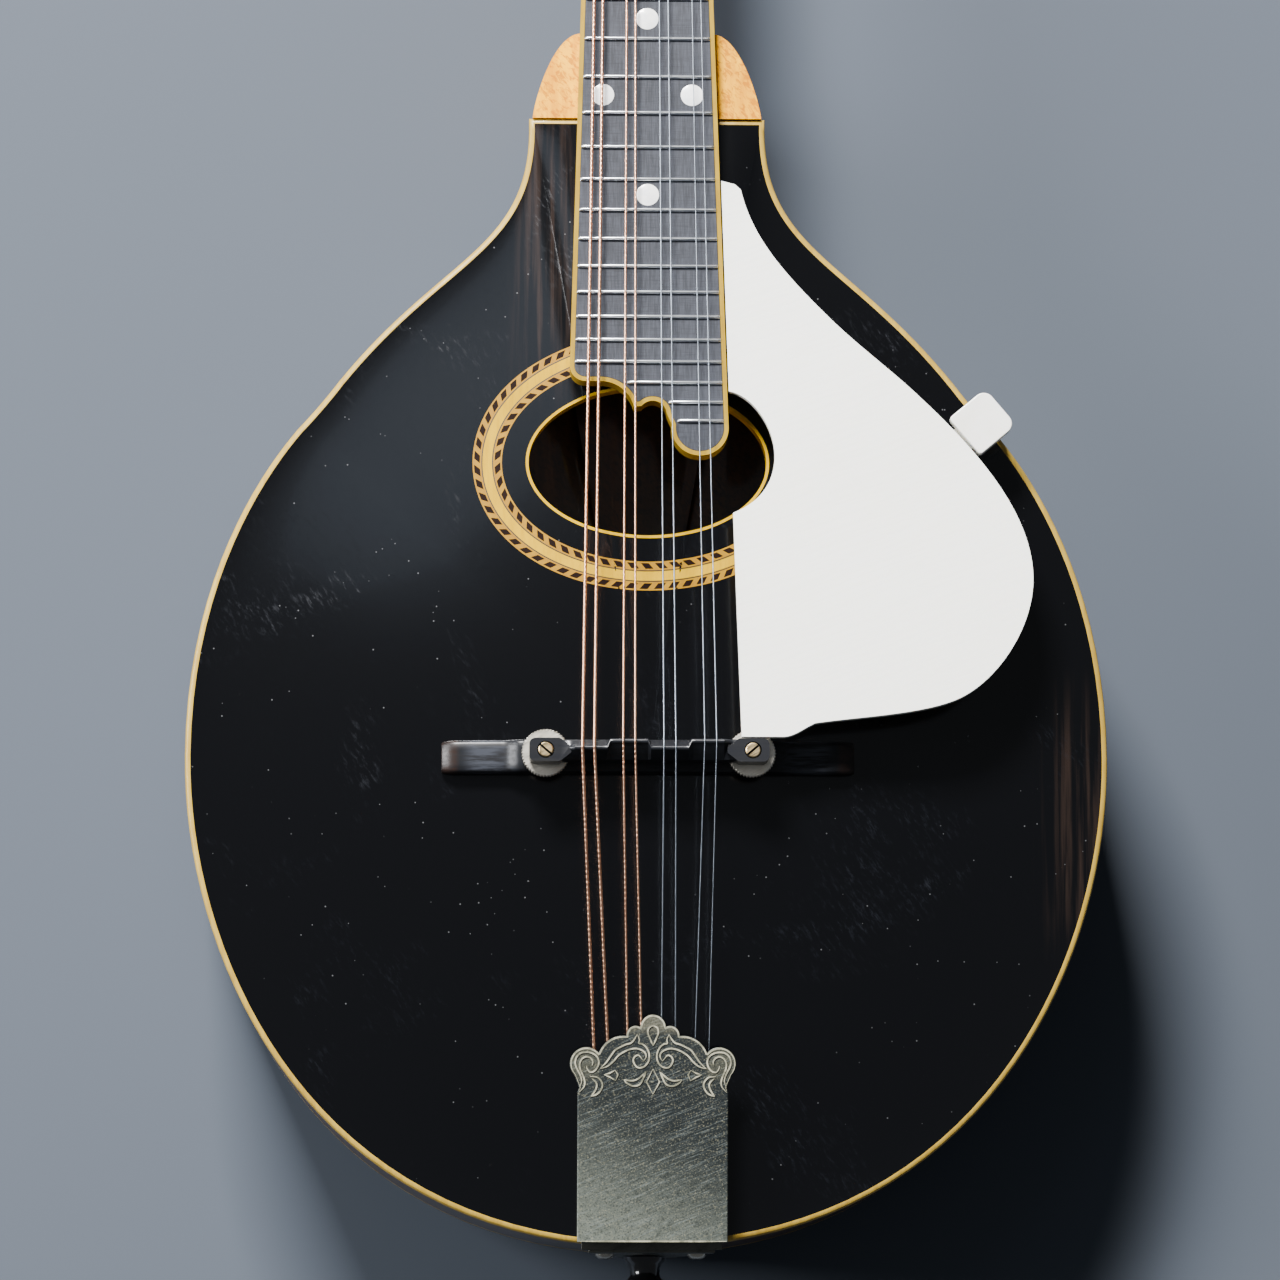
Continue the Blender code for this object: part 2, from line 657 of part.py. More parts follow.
def build_back():
    base = -RIM_DEPTH - SEAT_GAP
    mesh = plate_mesh("back_plate", BACK_OUTLINE, BACK_RINGS, INNER_RINGS,
                      lambda ring: EDGE_THICKNESS + back_height(ring),
                      lambda ring: inner_height(ring, BACK_ARCH) - SEAT_GAP, base, -1.0)
    back = add_piece("back_plate", mesh, "mahogany")
    cap = []
    for share in (0.0, 0.3, 0.55, 0.75, 0.9, 0.98):
        y = NECK_START + HEEL_CAP_LENGTH * share
        half = max(neck_half_width(y, HEEL_FLOOR + 0.0006), 0.0015)
        cap.append((min(half, JOINT_HALF_WIDTH - PLATE_INSET - 0.0005), y))
    root = JOINT_REACH - 0.006
    outline = [(cap[0][0], root)] + cap
    outline += mirrored_path(reversed(outline))
    button = prism("heel_button", outline, base - EDGE_THICKNESS, base)
    combine(back, add_cutter("heel_button", button), "UNION")
    binding = side_strip("back_binding", whole_path(0.0), whole_path(BINDING_WIDTH),
                         base - EDGE_THICKNESS, base)
    add_piece("back_binding", binding, "ivoroid")


def build_sides():
    """Rim, blocks, linings and the cross brace."""
    strip = side_strip("rim", whole_path(0.0), whole_path(RIM_THICKNESS), -RIM_DEPTH, 0.0)
    rim = add_piece("rim", strip, "mahogany")

    inside = half_outline(RIM_THICKNESS + SEAT_GAP)
    block_start = JOINT_REACH - HEAD_BLOCK_LENGTH
    flank = [(x, y) for x, y in inside if y > block_start and y < JOINT_REACH] + [inside[-1]]
    plan = [(flank[0][0], block_start)] + flank[:]
    head_plan = plan + mirrored_path(reversed(plan))
    head_block = add_piece("head_block", prism("head_block", head_plan, -RIM_DEPTH, 0.0), "mahogany")
    combine(head_block, add_cutter("tenon_mortise", tenon_mesh("tenon_mortise", RUNNING_GAP)))

    reach = TAIL_BLOCK_HALF_WIDTH
    tail_part = inside[:OUTLINE_STEPS[0]]
    corner = float(np.interp(reach, [x for x, y in tail_part], [y for x, y in tail_part]))
    tail_inside = [(x, y) for x, y in tail_part if x < reach] + [(reach, corner)]
    tail_curve = mirrored_path(reversed(tail_inside[1:])) + tail_inside
    tail_line = -TAIL_REACH + RIM_THICKNESS + TAIL_BLOCK_LENGTH
    tail_plan = tail_curve + [(reach, tail_line), (-reach, tail_line)]
    between = LINING_HEIGHT + SEAT_GAP
    tail_block = add_piece("tail_block", prism("tail_block", tail_plan, between - RIM_DEPTH, -between),
                           "mahogany")

    bore = rod_mesh("pin_bore", [(TAIL_FACE - 0.01, tail_line + 0.01, PIN_DIAMETER / 2 + RUNNING_GAP,
                                  PIN_DIAMETER / 2 + RUNNING_GAP)], "Y", 12)
    pin_bore = add_cutter("pin_bore", bore, None, (0.0, 0.0, PIN_LEVEL))
    combine(rim, pin_bore)
    combine(tail_block, pin_bore)

    lining_inner = half_outline(RIM_THICKNESS + SEAT_GAP + LINING_THICKNESS)
    keep = [i for i, (x, y) in enumerate(inside) if y < block_start - 0.004]
    outer_part = [inside[i] for i in keep]
    inner_part = [lining_inner[i] for i in keep]
    outer_part = mirrored_path(reversed(outer_part[1:])) + outer_part
    inner_part = mirrored_path(reversed(inner_part[1:])) + inner_part
    for name, low, high in (("top_lining", -LINING_HEIGHT, 0.0),
                            ("back_lining", -RIM_DEPTH, -RIM_DEPTH + LINING_HEIGHT)):
        add_piece(name, side_strip(name, outer_part, inner_part, low, high), "spruce")

    sections = []
    for share in np.linspace(-1.0, 1.0, 13):
        x = BRACE_HALF_LENGTH * share
        top = min(top_underside(x, BRACE_PLACE + offset) for offset in
                  (-BRACE_WIDTH / 2, 0.0, BRACE_WIDTH / 2)) - SEAT_GAP
        depth = BRACE_HEIGHT * (1.0 - 0.72 * abs(share) ** 3)
        low, high = BRACE_PLACE - BRACE_WIDTH / 2, BRACE_PLACE + BRACE_WIDTH / 2
        sections.append([(x, low, top), (x, high, top), (x, high, top - depth), (x, low, top - depth)])
    add_piece("cross_brace", loft("cross_brace", sections), "spruce")


# Neck

def board_height(y):
    """Height of the board's surface in the layout, at a distance from the bridge."""
    return -NUT_DROP + (NUT_PLACE - y) * math.tan(NECK_PITCH)


def board_half_width(y):
    """Half width of the board at a distance from the bridge."""
    return NUT_WIDTH / 2 + BOARD_FLARE / 2 * (NUT_PLACE - y) / math.cos(NECK_PITCH)


def board_underside(y):
    return board_height(y) - (BOARD_THICKNESS + SEAT_GAP) / math.cos(NECK_PITCH)


HEEL_FLOOR = -RIM_DEPTH - SEAT_GAP
NECK_START = JOINT_REACH + SEAT_GAP


def shoulder_half_width(y):
    """Plan of the neck: the board's width, swelling to nearly the body's at the joint."""
    share = min(1.0, max(0.0, (y - NECK_START) / SHOULDER_LENGTH))
    board = board_half_width(y) - BOARD_OVERHANG
    widest = JOINT_HALF_WIDTH - SHOULDER_INSET
    return board + (widest - board) * math.sqrt(1.0 - share ** SHOULDER_POWER)


def neck_floor(y):
    """Lowest line of the neck, seen from the side."""
    along = (NUT_PLACE - y) / (NUT_PLACE - NECK_START)
    shaft = board_underside(y) - (NECK_DEPTH_NUT + (NECK_DEPTH_BODY - NECK_DEPTH_NUT) * along)
    start = NECK_START + HEEL_CURVE_START
    tip = NECK_START + HEEL_CAP_LENGTH
    if y >= start:
        return shaft
    share = min(1.0, (start - y) / (start - tip))
    return shaft + (HEEL_FLOOR - shaft) * (1.0 - math.sqrt(max(0.0, 1.0 - share ** 2.2)))


def neck_half_width(y, level):
    """Half width of the neck at a height: a rounded section, squarer towards the body."""
    top = board_underside(y)
    past_cap = max(0.0, 1.0 - (y - NECK_START) / HEEL_CAP_LENGTH)
    depth = (top - neck_floor(y)) * (1.0 + 0.16 * math.sqrt(past_cap))
    power = 1.9 + 2.4 * past_cap
    share = min(1.0, max(0.0, (top - level) / depth))
    return shoulder_half_width(y) * (1.0 - share ** power) ** (1.0 / power)


def neck_section(y):
    """One rounded section of the neck across Y, in the layout."""
    top = board_underside(y)
    floor = neck_floor(y)
    levels = [top - (top - floor) * (1.0 - math.cos(math.pi / 2 * share))
              for share in (0.0, 0.38, 0.62, 0.80, 0.93, 1.0)]
    treble = [(max(neck_half_width(y, level), 0.0004), y, level) for level in levels]
    return treble + [(-x, py, pz) for x, py, pz in reversed(treble)]


def tenon_mesh(name, grow):
    """Dovetail under the neck's foot, wider away from the neck."""
    near = TENON_WIDTH / 2 + grow
    far = near + TENON_FLARE / 2
    start = NECK_START + 0.004
    end = NECK_START - TENON_LENGTH - grow
    plan = [(-near, start), (-far, end), (far, end), (near, start)]
    floor = -TENON_DEPTH - grow
    ceiling = -SEAT_GAP + (0.002 if grow else 0.0)
    return prism(name, plan, floor, ceiling)


def build_neck():
    joint_to_nut = NUT_PLACE - NECK_START
    heel_stations = [0.0, 0.0050, 0.0100, 0.0140, 0.0165, 0.0174, 0.0195, 0.0230, 0.0290, 0.0380, 0.0520]
    stations = [NECK_START + near for near in heel_stations]
    stations += [NECK_START + joint_to_nut * share for share in (0.62, 0.86, 1.0)]
    sections = [neck_section(y) for y in stations]
    last = neck_section(NUT_PLACE)
    overlap = 0.016
    drop = math.tan(NECK_PITCH + HEADSTOCK_PITCH) * overlap
    sections.append([(x * 0.92, y + overlap, z - drop * (1.0 if z > last[3][2] else 0.82))
                     for x, y, z in last])
    neck = add_piece("neck", loft("neck", sections), "maple")
    combine(neck, add_cutter("neck_tenon", tenon_mesh("neck_tenon", 0.0)), "UNION")
    slab = prism("headstock_slab", headstock_outline(), -HEADSTOCK_THICKNESS, -SEAT_GAP)
    combine(neck, add_cutter("headstock_slab", slab, HEADSTOCK), "UNION")
    clear_face = box_mesh("face_cut", (-0.05, -0.0003, -SEAT_GAP), (0.05, HEADSTOCK_LENGTH + 0.01, 0.02))
    combine(neck, add_cutter("face_cut", clear_face, HEADSTOCK))
    combine(neck, add_cutter("post_holes", post_hole_mesh(), HEADSTOCK))


# Fingerboard, in the neck frame: y = 0 at the nut, negative towards the bridge

def fret_line(number):
    return -SCALE_LENGTH * (1.0 - 2.0 ** (-number / 12.0))


def local_half_width(y):
    return NUT_WIDTH / 2 - BOARD_FLARE / 2 * y - BOARD_BINDING - SEAT_GAP


BOARD_LAST = fret_line(FRET_COUNT)
SCROLL_LEVEL = BOARD_LAST + 0.0019       # centre line of the two bites in the board's end


def board_outline():
    """The board with its scrolled end: a corner, two round bites and a lobe."""
    corner_y = SCROLL_LEVEL + 0.0105 + 0.0030
    edge = local_half_width(corner_y)
    lobe_y = BOARD_LAST - 0.0019
    treble_edge = local_half_width(lobe_y)
    lobe_radius = 0.0066
    points = [(-local_half_width(0.0), 0.0)]
    points += arc(-edge + 0.0030, corner_y, 0.0030, 180.0, 270.0, 4)
    points += arc(-0.0130, SCROLL_LEVEL, 0.0105, 90.0, 19.0, 7)
    points += arc(0.0012, SCROLL_LEVEL, 0.0050, 135.0, 4.0, 7)
    points += arc(treble_edge - lobe_radius, lobe_y, lobe_radius, 172.0, 360.0, 10)
    points += [(local_half_width(0.0), 0.0)]
    return points


def fret_span(number, margin):
    y = fret_line(number)
    half = local_half_width(y) + margin
    bass = SHORT_FRETS.get(number, -half) if number in SHORT_FRETS else -half
    return bass, half, y


def build_fingerboard():
    board = add_piece("fingerboard", prism("fingerboard", board_outline(), -BOARD_THICKNESS, 0.0),
                      "ebony", NECK)
    combine(board, add_cutter("board_riser", riser_mesh()), "UNION")
    frets = []
    for number in range(1, FRET_COUNT + 1):
        bass, treble, y = fret_span(number, -0.0001)
        frets.append((fret_mesh(bass, treble), (0, y, 0)))
    combine(board, add_cutter("fret_wires", merged("fret_wires", frets), NECK), "UNION")
    dots = []
    radius = DOT_DIAMETER / 2
    dot = rod_mesh("dot", [(-DOT_DEPTH, DOT_RISE, radius, radius)], "Z", 10)
    for number, side in DOT_FRETS:
        y = 0.5 * (fret_line(number) + fret_line(number - 1))
        dots.append((dot, (DOT_PAIR * side, y, 0)))
    combine(board, add_cutter("position_dots", merged("position_dots", dots), NECK), "UNION")

    for name, side, end in (("board_binding_bass", -1.0, SCROLL_LEVEL + 0.0135),
                            ("board_binding_treble", 1.0, BOARD_LAST - 0.0019)):
        plan = []
        for y in (0.0, end):
            inner = local_half_width(y) + SEAT_GAP
            plan.append((side * inner, side * (inner + BOARD_BINDING), y))
        (a, b, y0), (c, d, y1) = plan
        strip = prism(name, [(a, y0), (b, y0), (d, y1), (c, y1)], -BOARD_THICKNESS, 0.0)
        add_piece(name, strip, "ivoroid", NECK)


def fret_mesh(bass, treble):
    """A fret wire: a low round crown, pressed into the board and drawn across it."""
    crown = FRET_CROWN / 2
    profile = [(-crown, -FRET_BED), (crown, -FRET_BED), (crown * 0.45, FRET_HEIGHT),
               (-crown * 0.45, FRET_HEIGHT)]
    return loft("fret", [[(x, y, z) for y, z in profile] for x in (bass, treble)])


def riser_mesh():
    """Wedge under the overhanging end of the board, shaped to the arch of the top."""
    sections = []
    start = JOINT_REACH - RISER_START
    for share in np.linspace(0.0, 1.0, 7):
        y = start - (RISER_LENGTH - RISER_START) * share
        half = board_half_width(y) - RISER_INSET
        ceiling = board_height(y) - BOARD_THICKNESS / 2
        lower = [(half * side, y, top_surface(half * side, y) + SEAT_GAP)
                 for side in (-1.0, -0.5, 0.0, 0.5, 1.0)]
        upper = [(half * side, y, ceiling) for side in (1.0, -1.0)]
        sections.append(lower + upper)
    return loft("board_riser", sections)


def course_places(spread, pair):
    """X of the eight strings: four courses of two."""
    places = []
    for course in range(4):
        centre = spread * (course / 3 - 0.5)
        places += [centre - pair / 2, centre + pair / 2]
    return places


def build_nut():
    half = NUT_WIDTH / 2
    profile = [(SEAT_GAP, -BOARD_THICKNESS), (NUT_LENGTH, -BOARD_THICKNESS), (NUT_LENGTH, NUT_HEIGHT * 0.4),
               (NUT_LENGTH * 0.65, NUT_HEIGHT * 0.95), (NUT_LENGTH * 0.35, NUT_HEIGHT), (SEAT_GAP, NUT_HEIGHT)]
    nut = add_piece("nut", loft("nut", [[(x, y, z) for y, z in profile] for x in (-half, half)]),
                    "bone", NECK)
    notches = []
    for index, x in enumerate(course_places(NUT_COURSE_SPREAD, NUT_PAIR)):
        reach = STRING_DIAMETERS[index // 2] / 2 + SEAT_GAP
        notches.append((box_mesh("notch", (x - reach, -0.002, NUT_HEIGHT - NUT_NOTCH),
                                 (x + reach, NUT_LENGTH + 0.002, NUT_HEIGHT + 0.002)), (0, 0, 0)))
    combine(nut, add_cutter("nut_notches", merged("nut_notches", notches), NECK))


# Headstock and tuners, in the headstock frame: z = 0 under the overlay

def headstock_outline():
    """A plain paddle: narrow at the nut, flared shoulders and a low arched end."""
    shoulder, tip = 0.020, HEADSTOCK_LENGTH - 0.016
    side = bezier((HEADSTOCK_NECK_HALF, SEAT_GAP), (HEADSTOCK_NECK_HALF, 0.010),
                  (HEADSTOCK_WAIST_HALF, 0.010), (HEADSTOCK_WAIST_HALF, shoulder), 6)
    side += [(HEADSTOCK_WAIST_HALF, shoulder)]
    side += bezier((HEADSTOCK_TIP_HALF, tip), (HEADSTOCK_TIP_HALF, HEADSTOCK_LENGTH - 0.003),
                   (0.016, HEADSTOCK_LENGTH), (0.0, HEADSTOCK_LENGTH), 7)
    return side + [(0.0, HEADSTOCK_LENGTH)] + mirrored_path(reversed(side))


def post_places():
    """Centre of each string post, bass side first, from the nut outwards."""
    places = []
    for side in (-1.0, 1.0):
        for index in range(4):
            places.append((side * POST_SIDE, FIRST_POST + POST_SPACING * index, side))
    return places


def post_hole_mesh():
    radius = POST_DIAMETER / 2 + RUNNING_GAP
    holes = [(rod_mesh("hole", [(-0.03, 0.02, radius, radius)], "Z", POST_SIDES), (x, y, 0))
             for x, y, side in post_places()]
    return merged("post_holes", holes)


PLATE_FACE = -HEADSTOCK_THICKNESS - SEAT_GAP - PLATE_SHEET     # outer face of a tuner plate
WORM_CREST = WORM_PITCH_RADIUS + TOOTH_ADDENDUM
GEAR_TOP = PLATE_FACE - (WORM_CREST + SEAT_GAP - GEAR_FACE / 2)
WORM_LEVEL = GEAR_TOP - GEAR_FACE / 2
CENTRE_DISTANCE = GEAR_PITCH_RADIUS + WORM_PITCH_RADIUS
WORM_PITCH = 2 * math.pi * GEAR_PITCH_RADIUS / GEAR_TEETH


def build_overlay():
    overlay = add_piece("headstock_overlay", prism("headstock_overlay", headstock_outline(), 0.0,
                                                   OVERLAY_THICKNESS), "ebony", HEADSTOCK)
    combine(overlay, add_cutter("overlay_holes", post_hole_mesh(), HEADSTOCK))
    inner = POST_DIAMETER / 2 + RUNNING_GAP
    bushings = []
    for x, y, side in post_places():
        low = OVERLAY_THICKNESS / 2
        high = OVERLAY_THICKNESS + BUSHING_HEIGHT
        rim = BUSHING_DIAMETER / 2
        sections = []
        for index in range(POST_SIDES):
            angle = 2 * math.pi * (index + 0.5) / POST_SIDES
            ray = Vector((math.cos(angle), math.sin(angle), 0.0))
            sections.append([tuple(ray * inner + Vector((0, 0, low))), tuple(ray * rim + Vector((0, 0, low))),
                             tuple(ray * rim * 0.86 + Vector((0, 0, high))),
                             tuple(ray * inner + Vector((0, 0, high)))])
        bushings.append((loft("bushing", sections, closed_path=True), (x, y, 0)))
    combine(overlay, add_cutter("post_bushings", merged("post_bushings", bushings), HEADSTOCK), "UNION")


def gear_outline(phase):
    """Straight-sided teeth; one tooth points along the phase angle."""
    tip = GEAR_PITCH_RADIUS + TOOTH_ADDENDUM
    root = GEAR_PITCH_RADIUS - TOOTH_DEDENDUM
    step = 2 * math.pi / GEAR_TEETH
    points = []
    for tooth in range(GEAR_TEETH):
        middle = phase + tooth * step
        for radius, offset in ((root, -0.5), (tip, -0.13), (tip, 0.13)):
            angle = middle + offset * step
            points.append((radius * math.cos(angle), radius * math.sin(angle)))
    return points


def post_mesh():
    """A string post with its gear and the screw that holds it, z = 0 at the headstock frame."""
    radius, waist = POST_DIAMETER / 2, POST_WAIST / 2
    low = STRING_POST_LEVEL - 0.0022
    high = STRING_POST_LEVEL + 0.0022
    spans = [(GEAR_TOP - GEAR_FACE - 0.0012, GEAR_TOP - GEAR_FACE - 0.0004, radius * 0.7, radius),
             (low, low, radius, radius),
             (low + 0.0006, high - 0.0006, waist, waist),
             (high, POST_HEIGHT - 0.0008, radius, radius),
             (POST_HEIGHT, POST_HEIGHT, radius * 0.7, radius * 0.7)]
    post = add_cutter("post_blank", rod_mesh("post_blank", spans, "Z", POST_SIDES))
    gear = prism("gear", gear_outline(-math.pi / 2), GEAR_TOP - GEAR_FACE, GEAR_TOP)
    combine(post, add_cutter("gear_blank", gear), "UNION")
    return baked(post)


def worm_mesh():
    """A helical thread: rows of the grid follow the helix, and a fan closes each end."""
    crest = WORM_PITCH_RADIUS + TOOTH_ADDENDUM
    root = WORM_PITCH_RADIUS - TOOTH_DEDENDUM
    columns = 6
    rows = [(turn + phase, radius) for turn in range(WORM_TURNS)
            for phase, radius in ((0.26, root), (0.40, crest), (0.60, crest), (0.74, root))]
    start = -(WORM_TURNS + 1) / 2 * WORM_PITCH
    builder = bmesh.new()

    def vertex(row, column):
        phase, radius = rows[row]
        angle = 2 * math.pi * column / columns + math.pi / 2
        along = start + WORM_PITCH * (phase + column / columns)
        return builder.verts.new((along, radius * math.sin(angle), -radius * math.cos(angle)))

    grid = [[vertex(row, column) for column in range(columns)] for row in range(len(rows))]
    for row in range(len(rows) - 4):
        grid[row].append(grid[row + 4][0])
    for row in range(len(rows) - 5):
        for column in range(columns):
            builder.faces.new((grid[row][column], grid[row][column + 1],
                               grid[row + 1][column + 1], grid[row + 1][column]))
    last = len(rows) - 5
    near = grid[0][:columns + 1] + [grid[row][0] for row in (3, 2, 1)]
    far = grid[last][:columns + 1] + [grid[row][0] for row in (last + 3, last + 2, last + 1)]
    for loop in (near, far):
        middle = sum((v.co for v in loop), Vector()) / len(loop)
        hub = builder.verts.new((middle.x, 0.0, 0.0))
        for first, second in zip(loop, loop[1:] + loop[:1]):
            builder.faces.new((hub, first, second))
    return finish_mesh(builder, "worm")


def button_mesh():
    """Worm, shaft and oval button in one, along +X from the post's line."""
    radius = WORM_SHAFT / 2
    inner_end = -EAR_REACH - EAR_THICKNESS - 0.0008
    collar = BUTTON_START - POST_SIDE
    shaft = rod_mesh("shaft", [(inner_end, collar - 0.001, radius, radius),
                               (collar - 0.001, collar + 0.0022, 0.0026, 0.0030)], "X", 6)
    blank = add_cutter("button_blank", shaft)
    combine(blank, add_cutter("worm_blank", worm_mesh()), "UNION")
    builder = bmesh.new()
    bmesh.ops.create_uvsphere(builder, u_segments=8, v_segments=5, radius=0.5,
                              matrix=Matrix.Rotation(math.pi / 2, 4, "Y"))
    for vertex in builder.verts:
        swell = 1.0 - 0.16 * (vertex.co.x / 0.5)
        vertex.co = Vector((vertex.co.x * BUTTON_LENGTH, vertex.co.y * BUTTON_WIDTH / swell,
                            vertex.co.z * BUTTON_THICKNESS))
    bmesh.ops.translate(builder, vec=(collar + 0.0012 + BUTTON_LENGTH / 2, 0, 0), verts=builder.verts)
    knob = finish_mesh(builder, "knob")
    combine(blank, add_cutter("knob_blank", knob), "UNION")
    return baked(blank)


def build_tuners():
    shared_post, shared_button = post_mesh(), button_mesh()
    for number, (x, y, side) in enumerate(post_places(), 1):
        post = shared_post.copy()
        button = shared_button.copy()
        add_piece("string_post_%d" % number, post, "nickel", HEADSTOCK, (x, y, 0.0))
        turn = (0.0, 0.0, 0.0) if side > 0 else (0.0, math.pi, 0.0)
        add_piece("tuner_button_%d" % number, button, "white_ivoroid", HEADSTOCK,
                  (x, y - CENTRE_DISTANCE, WORM_LEVEL), turn)

    first = FIRST_POST - PLATE_OVERHANG
    last = FIRST_POST + 3 * POST_SPACING + PLATE_OVERHANG - 0.003
    for name, side in (("tuner_plate_bass", -1.0), ("tuner_plate_treble", 1.0)):
        low_x, high_x = -PLATE_HALF_WIDTH, PLATE_HALF_WIDTH
        corner = 0.003
        outline = (arc(low_x + corner, first + corner, corner, 180, 270, 3)
                   + arc(high_x - corner, first + corner, corner, 270, 360, 3)
                   + arc(high_x - corner, last - corner, corner, 0, 90, 3)
                   + arc(low_x + corner, last - corner, corner, 90, 180, 3))
        sheet = prism(name, outline, PLATE_FACE, PLATE_FACE + PLATE_SHEET)
        plate = add_piece(name, sheet, "nickel", HEADSTOCK, (side * POST_SIDE, 0.0, 0.0))
        ears, bores = [], []
        for index in range(4):
            axis_y = FIRST_POST + POST_SPACING * index - CENTRE_DISTANCE
            for reach in (-EAR_REACH, EAR_REACH):
                low = (reach - EAR_THICKNESS / 2, axis_y - EAR_WIDTH / 2, WORM_LEVEL - EAR_WIDTH / 2)
                high = (reach + EAR_THICKNESS / 2, axis_y + EAR_WIDTH / 2, PLATE_FACE + PLATE_SHEET / 2)
                ears.append((box_mesh("ear", low, high), (0, 0, 0)))
            radius = WORM_SHAFT / 2 + RUNNING_GAP
            bores.append((rod_mesh("bore", [(-0.012, 0.012, radius, radius)], "X", 6),
                          (0, axis_y, WORM_LEVEL)))
        offset = (side * POST_SIDE, 0.0, 0.0)
        combine(plate, add_cutter(name + "_ears", merged("ears", ears), HEADSTOCK, offset), "UNION")
        combine(plate, add_cutter(name + "_bores", merged("bores", bores), HEADSTOCK, offset))
        combine(plate, add_cutter(name + "_posts", post_hole_mesh(), HEADSTOCK))
        heads = []
        top, outer = PLATE_FACE + PLATE_SHEET / 2, PLATE_SCREW_DIAMETER / 2
        domed = [(PLATE_FACE - 0.0010, PLATE_FACE - 0.0010, outer * 0.55, outer * 0.55),
                 (PLATE_FACE - 0.0004, top, outer, outer)]
        between = 0.5 * (GEAR_PITCH_RADIUS + POST_SPACING - CENTRE_DISTANCE - EAR_WIDTH / 2)
        for y in (first + 0.0026, FIRST_POST + POST_SPACING + between, last - 0.0034):
            heads.append((rod_mesh("head", domed, "Z", 8), (0, y, 0)))
        combine(plate, add_cutter(name + "_screws", merged("heads", heads), HEADSTOCK, offset), "UNION")


# Bridge

WHEEL_LOW = FOOT_LEVEL + WHEEL_GAP
SADDLE_LOW = WHEEL_LOW + WHEEL_THICKNESS + SEAT_GAP
SADDLE_TOP = SADDLE_LOW + SADDLE_HEIGHT


